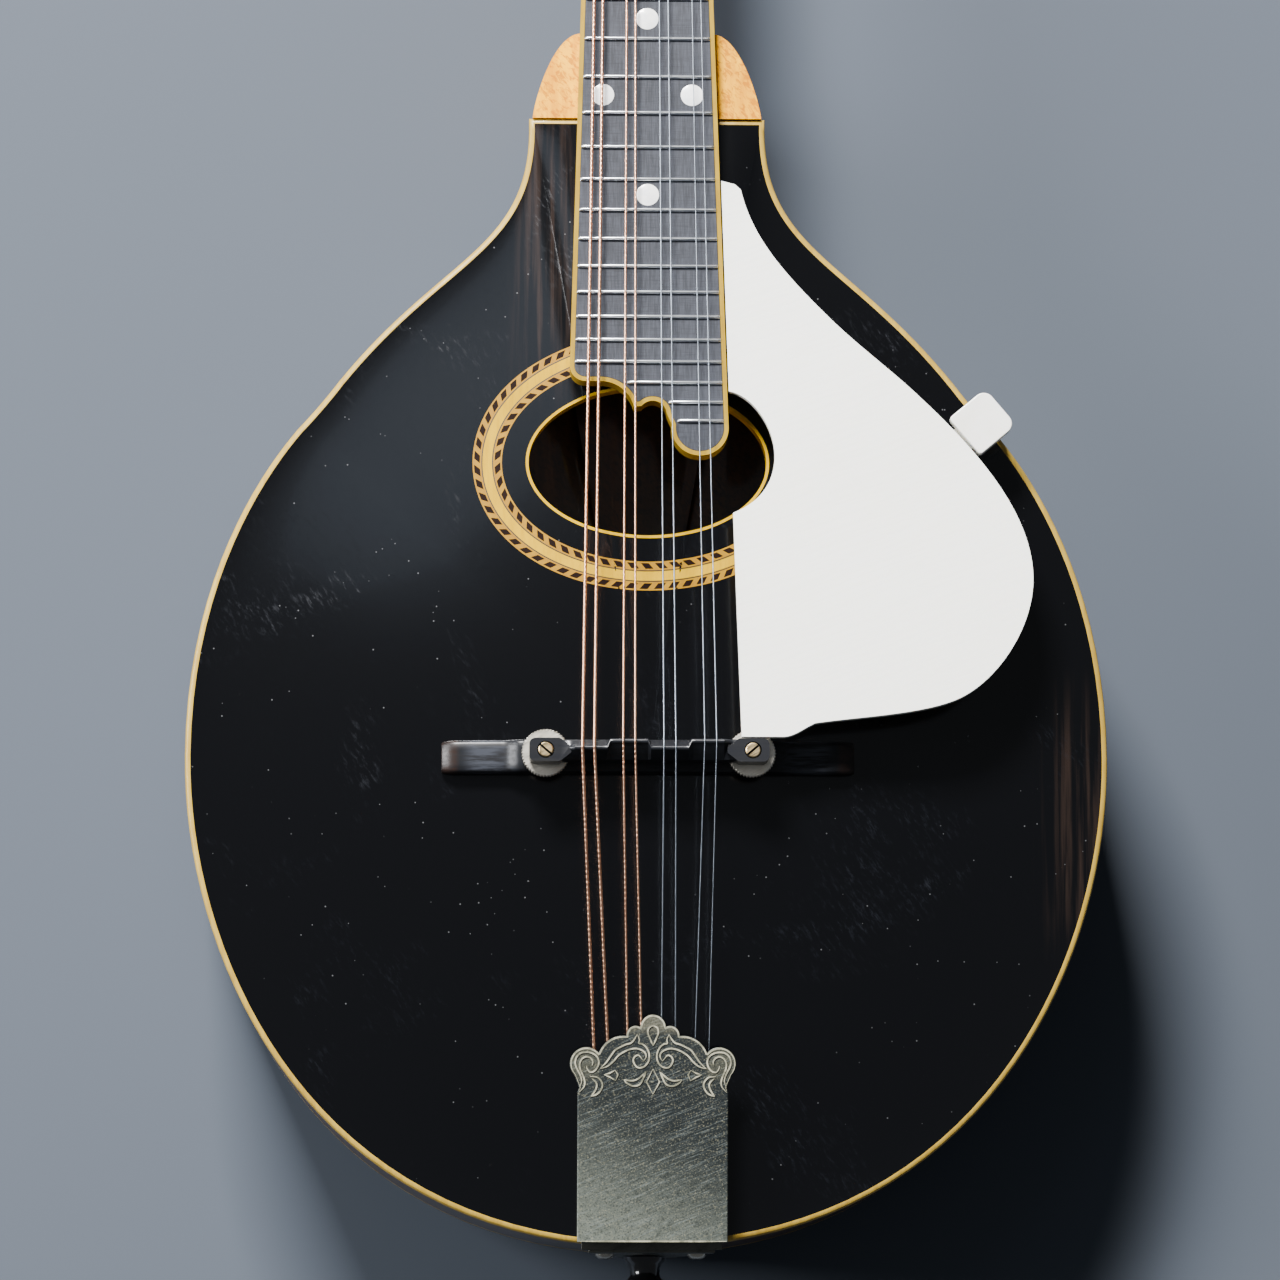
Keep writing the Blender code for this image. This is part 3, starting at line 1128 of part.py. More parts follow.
def build_bridge():
    ramp_start, ramp_end = FOOT_RAMP
    corner = 1.0 - FOOT_CORNER / FOOT_HALF_LENGTH
    stations = (1.0, corner, 0.84, ramp_end, 0.5 * (ramp_start + ramp_end), ramp_start, 0.35, 0.0)
    sections = []
    for share in [-s for s in stations[:-1]] + list(reversed(stations)):
        x = FOOT_HALF_LENGTH * share
        size = abs(share)
        half = FOOT_WIDTH / 2 - (FOOT_CORNER / 2 if size > corner else 0.0)
        low, high = FOOT_PLACE - half, FOOT_PLACE + half
        floor = max(top_surface(x, y) for y in (low, FOOT_PLACE, high)) + SEAT_GAP
        ramp = min(1.0, max(0.0, (size - ramp_start) / (ramp_end - ramp_start)))
        wing = top_surface(x, FOOT_PLACE) + FOOT_WING_HEIGHT
        ceiling = FOOT_LEVEL + (wing - FOOT_LEVEL) * ramp * ramp * (3.0 - 2.0 * ramp)
        bevel = 0.0008
        sections.append([(x, low, floor), (x, high, floor), (x, high, ceiling - bevel),
                         (x, high - bevel, ceiling), (x, low + bevel, ceiling), (x, low, ceiling - bevel)])
    foot = add_piece("bridge_foot", loft("bridge_foot", sections), "ebony")
    posts, sockets = [], []
    post_low = FOOT_LEVEL - 0.0034
    post_high = SADDLE_LOW + SADDLE_BOSS_HEIGHT + 0.0003
    radius = BRIDGE_POST_DIAMETER / 2
    for side in (-0.5, 0.5):
        place = (POST_SPREAD * side, BRIDGE_PLACE, 0)
        posts.append((rod_mesh("post", [(post_low, post_high - 0.0003, radius, radius),
                                        (post_high, post_high, radius - 0.0003, radius - 0.0003)],
                               "Z", 12), place))
        sockets.append((rod_mesh("socket", [(post_low - SEAT_GAP, 0.05, radius + RUNNING_GAP,
                                             radius + RUNNING_GAP)], "Z", 12), place))
    socket_cutter = add_cutter("post_sockets", merged("post_sockets", sockets))
    combine(foot, socket_cutter)
    for name, (mesh, place), turn in (("bridge_post_bass", posts[0], -40.0),
                                      ("bridge_post_treble", posts[1], 40.0)):
        post = add_piece(name, mesh, "brass", None, place)
        slot = box_mesh("slot", (-0.004, -0.00035, post_high - 0.0009), (0.004, 0.00035, post_high + 0.002))
        combine(post, add_cutter(name + "_slot", slot, None, place, (0.0, 0.0, math.radians(turn))))

    for name, side in (("wheel_bass", -0.5), ("wheel_treble", 0.5)):
        sections = []
        inner = radius + RUNNING_GAP
        for index in range(2 * KNURLS):
            angle = math.pi * index / KNURLS
            rim = WHEEL_DIAMETER / 2 - (0.0003 if index % 2 else 0.0)
            ray = Vector((math.cos(angle), math.sin(angle), 0.0))
            rise = Vector((0.0, 0.0, WHEEL_THICKNESS))
            sections.append([tuple(ray * inner), tuple(ray * rim), tuple(ray * rim + rise),
                             tuple(ray * inner + rise)])
        add_piece(name, loft(name, sections, closed_path=True), "nickel", None,
                  (POST_SPREAD * side, BRIDGE_PLACE, WHEEL_LOW))

    half_spread = POST_SPREAD / 2
    bar_end = half_spread - SADDLE_BOSS_LENGTH / 2 + 0.002
    centres = [SADDLE_COURSE_SPREAD * (course / 3 - 0.5) for course in range(4)]
    edges = [-bar_end] + [0.5 * (a + b) for a, b in zip(centres, centres[1:])] + [bar_end]
    sections = []
    half = SADDLE_BAR_WIDTH / 2
    for course, lean in enumerate((-1.0, 1.0, -1.0, 1.0)):
        for x in (edges[course] + 0.0006, edges[course + 1] - 0.0006):
            crest = BRIDGE_PLACE + 0.0013 + CREST_STEP * lean
            back, front = BRIDGE_PLACE - half, BRIDGE_PLACE + half
            sections.append([(x, back, SADDLE_LOW), (x, front, SADDLE_LOW), (x, front, SADDLE_TOP - 0.0022),
                             (x, crest + 0.0006, SADDLE_TOP), (x, crest - 0.0006, SADDLE_TOP),
                             (x, back, SADDLE_TOP - 0.0034)])
    saddle = add_piece("saddle", loft("saddle", sections), "ebony")
    bosses = []
    for side in (-0.5, 0.5):
        length, width, chamfer = SADDLE_BOSS_LENGTH / 2, SADDLE_BOSS_WIDTH / 2, 0.0019
        plan = [(-length, -width + chamfer), (-length + chamfer, -width), (length - chamfer, -width),
                (length, -width + chamfer), (length, width - chamfer), (length - chamfer, width),
                (-length + chamfer, width), (-length, width - chamfer)]
        bosses.append((prism("boss", plan, SADDLE_LOW, SADDLE_LOW + SADDLE_BOSS_HEIGHT),
                       (POST_SPREAD * side, BRIDGE_PLACE, 0)))
    combine(saddle, add_cutter("saddle_bosses", merged("saddle_bosses", bosses)), "UNION")
    combine(saddle, socket_cutter)


# Tailpiece, in its tilted frame: y = 0 at the tail face, z = 0 on the cover

def cover_outline():
    """Straight sides, then shoulder scrolls and stepped lobes up to a round crown."""
    treble = [(COVER_HALF_WIDTH, COVER_START), (COVER_HALF_WIDTH, COVER_SIDE_END),
              (COVER_HALF_WIDTH - 0.0004, COVER_SIDE_END + 0.0014)]
    for centre_x, centre_y, radius, first, last in COVER_LOBES:
        steps = 9 if last - first > 150 else 5
        treble += arc(centre_x, centre_y, radius, first, last, steps)
    bass = [(-x, y) for x, y in reversed(treble[:-1])]
    return treble + bass


def base_height(y):
    """Upper face of the tailpiece base in the layout, at a distance behind the bridge."""
    return COVER_LEVEL - COVER_RISE / math.cos(TAIL_TILT) + (y - TAIL_FACE) * math.tan(TAIL_TILT)


def build_tailpiece():
    cover = add_piece("tailpiece_cover", prism("tailpiece_cover", cover_outline(), -COVER_SHEET, 0.0),
                      "nickel", TAIL)
    wall = COVER_SHEET
    walls = [(box_mesh("wall", (side * COVER_HALF_WIDTH - (wall if side > 0 else 0.0), COVER_START,
                                -COVER_WALL),
                       (side * COVER_HALF_WIDTH + (0.0 if side > 0 else wall), COVER_SIDE_END - 0.001,
                        -wall / 2)), (0, 0, 0)) for side in (-1.0, 1.0)]
    end = box_mesh("end", (-COVER_HALF_WIDTH, COVER_START, -COVER_RISE + SEAT_GAP),
                   (COVER_HALF_WIDTH, COVER_START + wall, -wall / 2))
    combine(cover, add_cutter("cover_walls", merged("cover_walls", walls), TAIL), "UNION")
    combine(cover, add_cutter("cover_end", end, TAIL), "UNION")

    half = COVER_HALF_WIDTH - wall - SEAT_GAP
    face = -COVER_RISE
    sheet = box_mesh("tailpiece_base", (-half, 0.0, face - BASE_SHEET), (half, BASE_LENGTH, face))
    base = add_piece("tailpiece_base", sheet, "nickel", TAIL)
    tongue = [(TAIL_PLATE_HALF_WIDTH + 0.002, base_height(TAIL_FACE) - BASE_SHEET / 2),
              (TAIL_PLATE_HALF_WIDTH, -0.006)]
    tongue += arc(0.0, -TAIL_PLATE_DEPTH + TAIL_PLATE_TIP_HALF, TAIL_PLATE_TIP_HALF, -10.0, -90.0, 4)
    tongue += mirrored_path(reversed(tongue[:-1]))
    back = loft("tail_plate", [[(TAIL_OFFSET + x, TAIL_FACE, z) for x, z in tongue],
                               [(TAIL_OFFSET + x, TAIL_FACE + BASE_SHEET, z) for x, z in tongue]])
    combine(base, add_cutter("tail_plate", back), "UNION")
    radius = PIN_DIAMETER / 2 + RUNNING_GAP
    hole = rod_mesh("plate_hole", [(TAIL_FACE - 0.003, TAIL_FACE + 0.003, radius, radius)], "Y", 12)
    hooks = []
    for x in course_places(HOOK_COURSE_SPREAD, HOOK_PAIR):
        low, high = x - HOOK_WIDTH / 2, x + HOOK_WIDTH / 2
        side_view = [(HOOK_PLACE, face - 0.0004), (HOOK_PLACE, face + HOOK_HEIGHT),
                     (HOOK_PLACE - 0.0030, face + HOOK_HEIGHT + 0.0004),
                     (HOOK_PLACE - 0.0030, face + HOOK_HEIGHT - 0.0006),
                     (HOOK_PLACE - 0.0010, face + HOOK_HEIGHT - 0.0010), (HOOK_PLACE - 0.0010, face - 0.0004)]
        hooks.append((loft("hook", [[(px, y, z) for y, z in side_view] for px in (low, high)]), (0, 0, 0)))
    combine(base, add_cutter("string_hooks", merged("string_hooks", hooks), TAIL), "UNION")
    combine(base, add_cutter("plate_hole", hole, None, (0.0, 0.0, PIN_LEVEL)))

    heads = []
    outer = SCREW_HEAD_DIAMETER / 2
    for x, z in TAIL_SCREWS:
        start = TAIL_FACE
        spans = [(start - SCREW_HEAD_HEIGHT, start - SCREW_HEAD_HEIGHT, outer * 0.35, outer * 0.35),
                 (start - SCREW_HEAD_HEIGHT * 0.8, start - SCREW_HEAD_HEIGHT * 0.8, outer * 0.75, outer * 0.75),
                 (start - 0.0003, start + BASE_SHEET / 2, outer, outer)]
        heads.append((rod_mesh("head", spans, "Y", 10), (TAIL_OFFSET + x, 0, z)))
    combine(base, add_cutter("tailpiece_screws", merged("tailpiece_screws", heads)), "UNION")

    shank = PIN_DIAMETER / 2
    head = PIN_HEAD_DIAMETER / 2
    start = TAIL_FACE - SEAT_GAP
    profile = [(PIN_END, head * 0.60), (PIN_END + 0.0010, head * 0.94), (PIN_END + 0.0030, head),
               (PIN_END + 0.0060, head * 0.66), (start - 0.0012, head * 0.80), (start, head * 0.94),
               (start, shank), (-TAIL_REACH + TAIL_BLOCK_LENGTH, shank * 0.92)]
    spans = [(y, y, radius_here, radius_here) for y, radius_here in profile]
    add_piece("end_pin", rod_mesh("end_pin", spans, "Y", 12), "ebony", None, (0.0, 0.0, PIN_LEVEL))


# Pickguard and its clamp

def guard_outline():
    """Plan of the guard in its tilted frame; the bridge end is at y = 0."""
    stretch = 1.0 / math.cos(GUARD_TILT)

    def beside_board(y):
        return board_half_width(y) + SEAT_GAP

    def at(across, along):
        """A point from its shares of the body's half width and of the reach to the neck joint."""
        return HALF_WIDTH * across, JOINT_REACH * along

    top, bite_high, bite_low = (JOINT_REACH * share for share in GUARD_BOARD_SHARES)
    bite_top = (beside_board(bite_high), bite_high)
    points = [(beside_board(top), top), at(*GUARD_NECK_CORNER)]
    for curve, steps in GUARD_CURVES:
        handles = [at(*share) for share in curve]
        if points[-1] != handles[0]:
            points.append(handles[0])
        points += bezier(*handles, steps)[1:] + [handles[-1]]
    points += [(points[-1][0], GUARD_START), (GUARD_INNER, GUARD_START),
               (GUARD_INNER - GUARD_LEAN, bite_low)]
    belly = (HOLE_HALF_WIDTH + 0.0017, HOLE_PLACE + 0.0005)
    points += bezier(points[-1], (belly[0] - 0.0028, bite_low + 0.0035), (belly[0], belly[1] - 0.0063),
                     belly, 5)[1:]
    points += bezier(belly, (belly[0], belly[1] + 0.0072), (belly[0] - 0.0053, bite_high - 0.0012),
                     bite_top, 5)
    points.append(bite_top)
    return [(x, (y - GUARD_START) * stretch) for x, y in points]


def guard_height(y):
    return GUARD_LEVEL - (y - GUARD_START) * math.tan(GUARD_TILT)


def clamp_origin():
    """Point of the body's outline where the clamp stands."""
    place = CLAMP_SHARE * JOINT_REACH
    upper = half_outline(0.0)[OUTLINE_STEPS[0]:]
    return float(np.interp(place, [y for x, y in upper], [x for x, y in upper])), place


def build_guard():
    add_piece("pickguard", prism("pickguard", guard_outline(), -GUARD_THICKNESS, 0.0), "white_ivoroid", GUARD)
    x, y = clamp_origin()
    clamp = empty("clamp_frame", ROOT, (x, y, 0.0), (0.0, 0.0, CLAMP_ANGLE))
    turn = Matrix.Translation((x, y, 0.0)) @ Matrix.Rotation(CLAMP_ANGLE, 4, "Z")

    def layout(u, v=0.0):
        point = turn @ Vector((u, v, 0.0))
        return point.x, point.y

    guard_low = min(guard_height(layout(-CLAMP_INSIDE, v)[1]) for v in (-CLAMP_STEP / 2, CLAMP_STEP / 2))
    tongue_top = guard_low - GUARD_THICKNESS / math.cos(GUARD_TILT) - SEAT_GAP - 0.0004
    block_top = guard_low + 0.0006
    block_low = block_top - 0.0036
    half = CLAMP_STEP / 2
    seat = max(top_surface(*layout(u, v)) for u in (-0.0045, -0.0010) for v in (-0.004, 0.004)) + SEAT_GAP
    corner = 0.0026
    plan = (arc(CLAMP_OVERHANG - corner, half - corner, corner, 0, 90, 3)
            + arc(-CLAMP_INSIDE + 0.0008, half - 0.0008, 0.0008, 90, 180, 1)
            + arc(-CLAMP_INSIDE + 0.0008, -half + 0.0008, 0.0008, 180, 270, 1)
            + arc(CLAMP_OVERHANG - corner, -half + corner, corner, 270, 360, 3))
    block = add_piece("guard_clamp_block", prism("guard_clamp_block", plan, block_low, block_top),
                      "white_ivoroid", clamp)
    tongue = box_mesh("block_tongue", (-CLAMP_INSIDE - 0.0045, -half + 0.003, block_low - 0.0016),
                      (-CLAMP_INSIDE + 0.003, half - 0.003, min(tongue_top, block_low + 0.0012)))
    leg = box_mesh("block_leg", (-0.0045, -0.0040, seat), (-0.0010, 0.0040, block_low + 0.001))
    combine(block, add_cutter("block_tongue", tongue, clamp), "UNION")
    combine(block, add_cutter("block_leg", leg, clamp), "UNION")

    back_low = min(back_surface(*layout(-PAD_INSIDE + u, v))
                   for u in (-PAD_DIAMETER / 2, 0.0) for v in (-PAD_DIAMETER / 2, 0.0, PAD_DIAMETER / 2))
    pad_top = back_low - SEAT_GAP
    pad_low = pad_top - PAD_THICKNESS
    jaw_top = pad_low - PAD_TRAVEL_ROOM
    jaw_low = jaw_top - 0.0020
    near, far = BRACKET_GAP, BRACKET_GAP + BRACKET_SHEET
    jaw_end = -PAD_INSIDE - PAD_DIAMETER / 2
    side_view = [(far, block_low - SEAT_GAP), (far, jaw_low), (jaw_end, jaw_low), (jaw_end, jaw_top),
                 (near, jaw_top), (near, block_low - SEAT_GAP)]
    bracket = add_piece("guard_bracket", loft("guard_bracket", [
        [(u, v, z) for u, z in side_view] for v in (-BRACKET_WIDTH / 2, BRACKET_WIDTH / 2)]), "nickel", clamp)
    radius = CLAMP_SCREW / 2
    hole = rod_mesh("jaw_hole", [(jaw_low - 0.002, jaw_top + 0.002, radius + RUNNING_GAP,
                                  radius + RUNNING_GAP)], "Z", 12)
    combine(bracket, add_cutter("jaw_hole", hole, clamp, (-PAD_INSIDE, 0.0, 0.0)))
    pad = rod_mesh("guard_pad", [(-PAD_THICKNESS, 0.0, PAD_DIAMETER / 2, PAD_DIAMETER / 2)], "Z", 14)
    add_piece("guard_pad", pad, "felt", clamp, (-PAD_INSIDE, 0.0, pad_top))
    knob_top = jaw_low - 0.0006
    shank_top = pad_low - SEAT_GAP
    screw = add_piece("guard_screw", rod_mesh("guard_screw", [(knob_top - 0.0005, shank_top, radius, radius)],
                                              "Z", 12), "nickel", clamp, (-PAD_INSIDE, 0.0, 0.0))
    knob_outline = []
    for index in range(32):
        reach = CLAMP_KNOB / 2 - (0.0004 if index % 2 else 0.0)
        angle = math.pi * index / 16
        knob_outline.append((reach * math.cos(angle), reach * math.sin(angle)))
    knob = prism("screw_knob", knob_outline, knob_top - CLAMP_KNOB_HEIGHT, knob_top)
    combine(screw, add_cutter("screw_knob", knob, clamp, (-PAD_INSIDE, 0.0, 0.0)), "UNION")


# Strings

def wire_mesh(name, points, diameter):
    """A round wire through the points, as a curve with filled caps, then a mesh."""
    curve = bpy.data.curves.new(name, "CURVE")
    curve.dimensions = "3D"
    curve.bevel_depth = diameter / 2
    curve.bevel_resolution = 1
    curve.use_fill_caps = True
    spline = curve.splines.new("POLY")
    spline.points.add(len(points) - 1)
    for target, point in zip(spline.points, points):
        target.co = (*point, 1.0)
    wire = bpy.data.objects.new(name, curve)
    CUTTERS.objects.link(wire)
    mesh = baked(wire)
    builder = bmesh.new()
    builder.from_mesh(mesh)
    return finish_mesh(builder, name)


def build_strings():
    at_nut = course_places(NUT_COURSE_SPREAD, NUT_PAIR)
    at_saddle = course_places(SADDLE_COURSE_SPREAD, SADDLE_PAIR)
    at_hook = course_places(HOOK_COURSE_SPREAD, HOOK_PAIR)
    places = post_places()
    tail = Matrix.Translation((TAIL_OFFSET, TAIL_FACE, COVER_LEVEL)) @ Matrix.Rotation(TAIL_TILT, 4, "X")
    bass_posts = places[:4]
    treble_posts = list(reversed(places[4:]))
    lean = (-1.0, 1.0, -1.0, 1.0)
    for course, label in enumerate(COURSES):
        radius = STRING_DIAMETERS[course] / 2
        for member in range(2):
            index = 2 * course + member
            hook = tail @ Vector((at_hook[index], HOOK_PLACE + SEAT_GAP + radius,
                                  -COVER_RISE + HOOK_HEIGHT - 0.0014))
            crest = BRIDGE_PLACE + 0.0013 + CREST_STEP * lean[course]
            saddle = Vector((at_saddle[index], crest, SADDLE_TOP + SEAT_GAP + radius))
            nut = NECK_MATRIX @ Vector((at_nut[index], NUT_LENGTH * 0.5,
                                        NUT_HEIGHT - NUT_NOTCH + SEAT_GAP + radius))
            post_x, post_y, side = (bass_posts if course < 2 else treble_posts)[index % 4]
            back_of_nut = NECK_MATRIX @ Vector((at_nut[index], NUT_LENGTH, NUT_HEIGHT - NUT_NOTCH
                                                + SEAT_GAP * 0.6 + radius))
            target = Vector((post_x, post_y, STRING_POST_LEVEL))
            inner_side = Vector((-side * (POST_WAIST / 2 + SEAT_GAP + radius + 0.0001), 0.0, 0.0))
            post = HEADSTOCK_MATRIX @ (target + inner_side)
            points = [hook, saddle, nut, back_of_nut, post]
            kind = "bronze_wire" if course < 2 else "steel_wire"
            name = "string_%s%d" % (label, member + 1)
            add_piece(name, wire_mesh(name, points, 2 * radius), kind)


build_top()
build_back()
build_sides()
build_neck()
build_fingerboard()
build_nut()
build_overlay()
build_tuners()
build_bridge()
build_tailpiece()
build_guard()
build_strings()
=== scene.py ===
"""The a-style mandolin's looks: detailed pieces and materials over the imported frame, light and camera."""
from math import acos, atan2, copysign, cos, dist, hypot, pi, radians, sin, sqrt, tan

import bmesh
import bpy
import numpy as np
from mathutils import Matrix, Vector


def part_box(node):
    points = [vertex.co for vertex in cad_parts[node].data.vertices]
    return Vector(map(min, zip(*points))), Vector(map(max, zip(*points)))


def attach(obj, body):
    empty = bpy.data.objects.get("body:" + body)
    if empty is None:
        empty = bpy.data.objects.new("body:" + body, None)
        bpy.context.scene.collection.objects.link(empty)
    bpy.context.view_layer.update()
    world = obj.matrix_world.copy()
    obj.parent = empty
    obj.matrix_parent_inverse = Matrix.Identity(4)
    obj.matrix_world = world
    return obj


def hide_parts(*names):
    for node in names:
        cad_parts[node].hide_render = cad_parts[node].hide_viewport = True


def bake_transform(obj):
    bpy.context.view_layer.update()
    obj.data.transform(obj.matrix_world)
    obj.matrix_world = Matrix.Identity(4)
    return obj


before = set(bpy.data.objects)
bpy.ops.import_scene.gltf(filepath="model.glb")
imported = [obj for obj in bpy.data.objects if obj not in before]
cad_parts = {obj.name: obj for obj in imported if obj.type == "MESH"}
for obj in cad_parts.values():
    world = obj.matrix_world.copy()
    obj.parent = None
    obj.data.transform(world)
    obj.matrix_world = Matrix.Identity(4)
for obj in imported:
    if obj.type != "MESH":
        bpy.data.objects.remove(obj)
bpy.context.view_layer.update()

# Layout sizes, the same as the solids'
MIDDLE = 0.1767721
RIM_LEVEL = 0.0648
SEAT_GAP = 0.0003
SCALE_LENGTH = 0.3524
COMPENSATION = 0.0025
NECK_PITCH = radians(5.0)
BOARD_LEVEL = 0.01052
BOARD_THICKNESS = 0.005
BOARD_BINDING = 0.0012
NUT_WIDTH = 0.0286
BOARD_FLARE = 0.0575
FRET_COUNT = 24
SHORT_FRETS = {22: -0.0057, 23: 0.0056, 24: 0.0080}
NUT_LENGTH = 0.0048
NUT_HEIGHT = 0.0020
NUT_NOTCH = 0.0011
STRING_DIAMETERS = (0.00086, 0.00061, 0.00036, 0.00028)
COURSES = ("g", "d", "a", "e")
HALF_WIDTH = 0.1255
TAIL_REACH = 0.1328
JOINT_REACH = 0.1778
JOINT_HALF_WIDTH = 0.0326
RIM_DEPTH = 0.044
RIM_THICKNESS = 0.0024
BINDING_WIDTH = 0.0015
EDGE_THICKNESS = 0.0045
TOP_ARCH = 0.0095
TOP_HOLLOW = 0.0090
BACK_ARCH = 0.0160
BACK_HOLLOW = 0.0155
ARCH_POWER = 1.4
LEDGE_SHARE = 0.93
BACK_REST = 0.12
HOLE_PLACE = 0.0803
HOLE_HALF_WIDTH = 0.0326
HOLE_HALF_LENGTH = 0.0208
HEADSTOCK_PITCH = radians(12.0)
HEADSTOCK_LENGTH = 0.147
HEADSTOCK_THICKNESS = 0.0125
HEADSTOCK_DROP = 0.0040
OVERLAY_THICKNESS = 0.0020
POST_SPACING = 0.023
FIRST_POST = 0.037
POST_SIDE = 0.0178
POST_RADIUS = 0.0028
POST_WAIST = 0.0022
POST_HEIGHT = 0.0125
STRING_POST_LEVEL = 0.0062
PLATE_SHEET = 0.0011
GEAR_TEETH = 12
GEAR_PITCH_RADIUS = 0.0056
GEAR_FACE = 0.0030
WORM_PITCH_RADIUS = 0.0026
EAR_PLACE = 0.0064
EAR_HALF = 0.0008
FOOT_LEVEL = 0.0188
POST_SPREAD = 0.0555
BRIDGE_PLACE = -0.0013
FOOT_PLACE = -0.0016
WHEEL_DIAMETER = 0.0131
WHEEL_THICKNESS = 0.0021
WHEEL_LOW = FOOT_LEVEL + 0.0011
SADDLE_LOW = WHEEL_LOW + WHEEL_THICKNESS + SEAT_GAP
SADDLE_TOP = SADDLE_LOW + 0.0077
SADDLE_BOSS = 0.0068
CREST_LEANS = (-1.0, 1.0, -1.0, 1.0)
CREST_PLACES = [BRIDGE_PLACE + 0.0013 + 0.0009 * lean for lean in CREST_LEANS]
COVER_LEVEL = 0.0122
COVER_HALF_WIDTH = 0.0201
COVER_SHEET = 0.0009
COVER_START = 0.0025
TAIL_TILT = radians(7.0)
TAIL_FACE = -TAIL_REACH - SEAT_GAP - 0.0012
TAIL_OFFSET = 0.0012
TAIL_PLATE = 0.0012
TAIL_PLATE_FACE = -0.0060
HOOK_PLACE = 0.0215
PIN_LEVEL = -0.0200
PIN_LENGTH = 0.0110
GUARD_TILT = radians(5.5)
GUARD_LEVEL = 0.0268
GUARD_START = 0.0026
GUARD_THICKNESS = 0.0018
CLAMP_ANGLE = radians(40.0)
CLAMP_REACH = 0.5202 * JOINT_REACH
CLAMP_SCREW_PLACE = -0.0038

# Spread of the four courses, and the distance within a pair
AT_NUT = (0.0232, 0.0019)
AT_SADDLE = (0.0327, 0.0032)
AT_HOOKS = (0.0248, 0.0040)


def at(x=0.0, y=0.0, z=0.0, axis="X", angle=0.0):
    """A place, with a turn about one of its axes."""
    return Matrix.Translation((x, y, z)) @ Matrix.Rotation(angle, 4, axis)


NUT_PLACE = (COMPENSATION + SCALE_LENGTH) * cos(NECK_PITCH)
NUT_DROP = (NUT_PLACE - JOINT_REACH) * tan(NECK_PITCH) - BOARD_LEVEL
ROOT = at(0.0, -MIDDLE, RIM_LEVEL)
NECK = ROOT @ at(0.0, NUT_PLACE, -NUT_DROP, "X", -NECK_PITCH)
HEAD = NECK @ at(0.0, NUT_LENGTH, -HEADSTOCK_DROP, "X", -HEADSTOCK_PITCH)
TAIL = ROOT @ at(TAIL_OFFSET, TAIL_FACE, COVER_LEVEL, "X", TAIL_TILT)
GUARD = ROOT @ at(0.0, GUARD_START, GUARD_LEVEL, "X", -GUARD_TILT)


def linked(name, data):
    """A new object in the scene."""
    made = bpy.data.objects.new(name, data)
    bpy.context.scene.collection.objects.link(made)
    return made


# Camera: seen from above, a little from the tail and from the bass side

def make_camera():
    tilt, turn, distance = radians(8.5), radians(1.5), 1.5
    back = Vector((-sin(turn) * cos(tilt), -sin(tilt), cos(turn) * cos(tilt)))
    right = Vector((cos(turn), 0.0, sin(turn)))
    target = ROOT @ Vector((-0.00193, 0.03194, 0.005))
    data = bpy.data.cameras.new("camera")
    data.sensor_width = 36.0
    data.lens = 154.67
    data.clip_end = 50.0
    camera = linked("camera", data)
    spin = Matrix((right, back.cross(right), back)).transposed()
    camera.matrix_world = Matrix.Translation(target + back * distance) @ spin.to_4x4()
    bpy.context.scene.camera = camera


make_camera()


# Materials

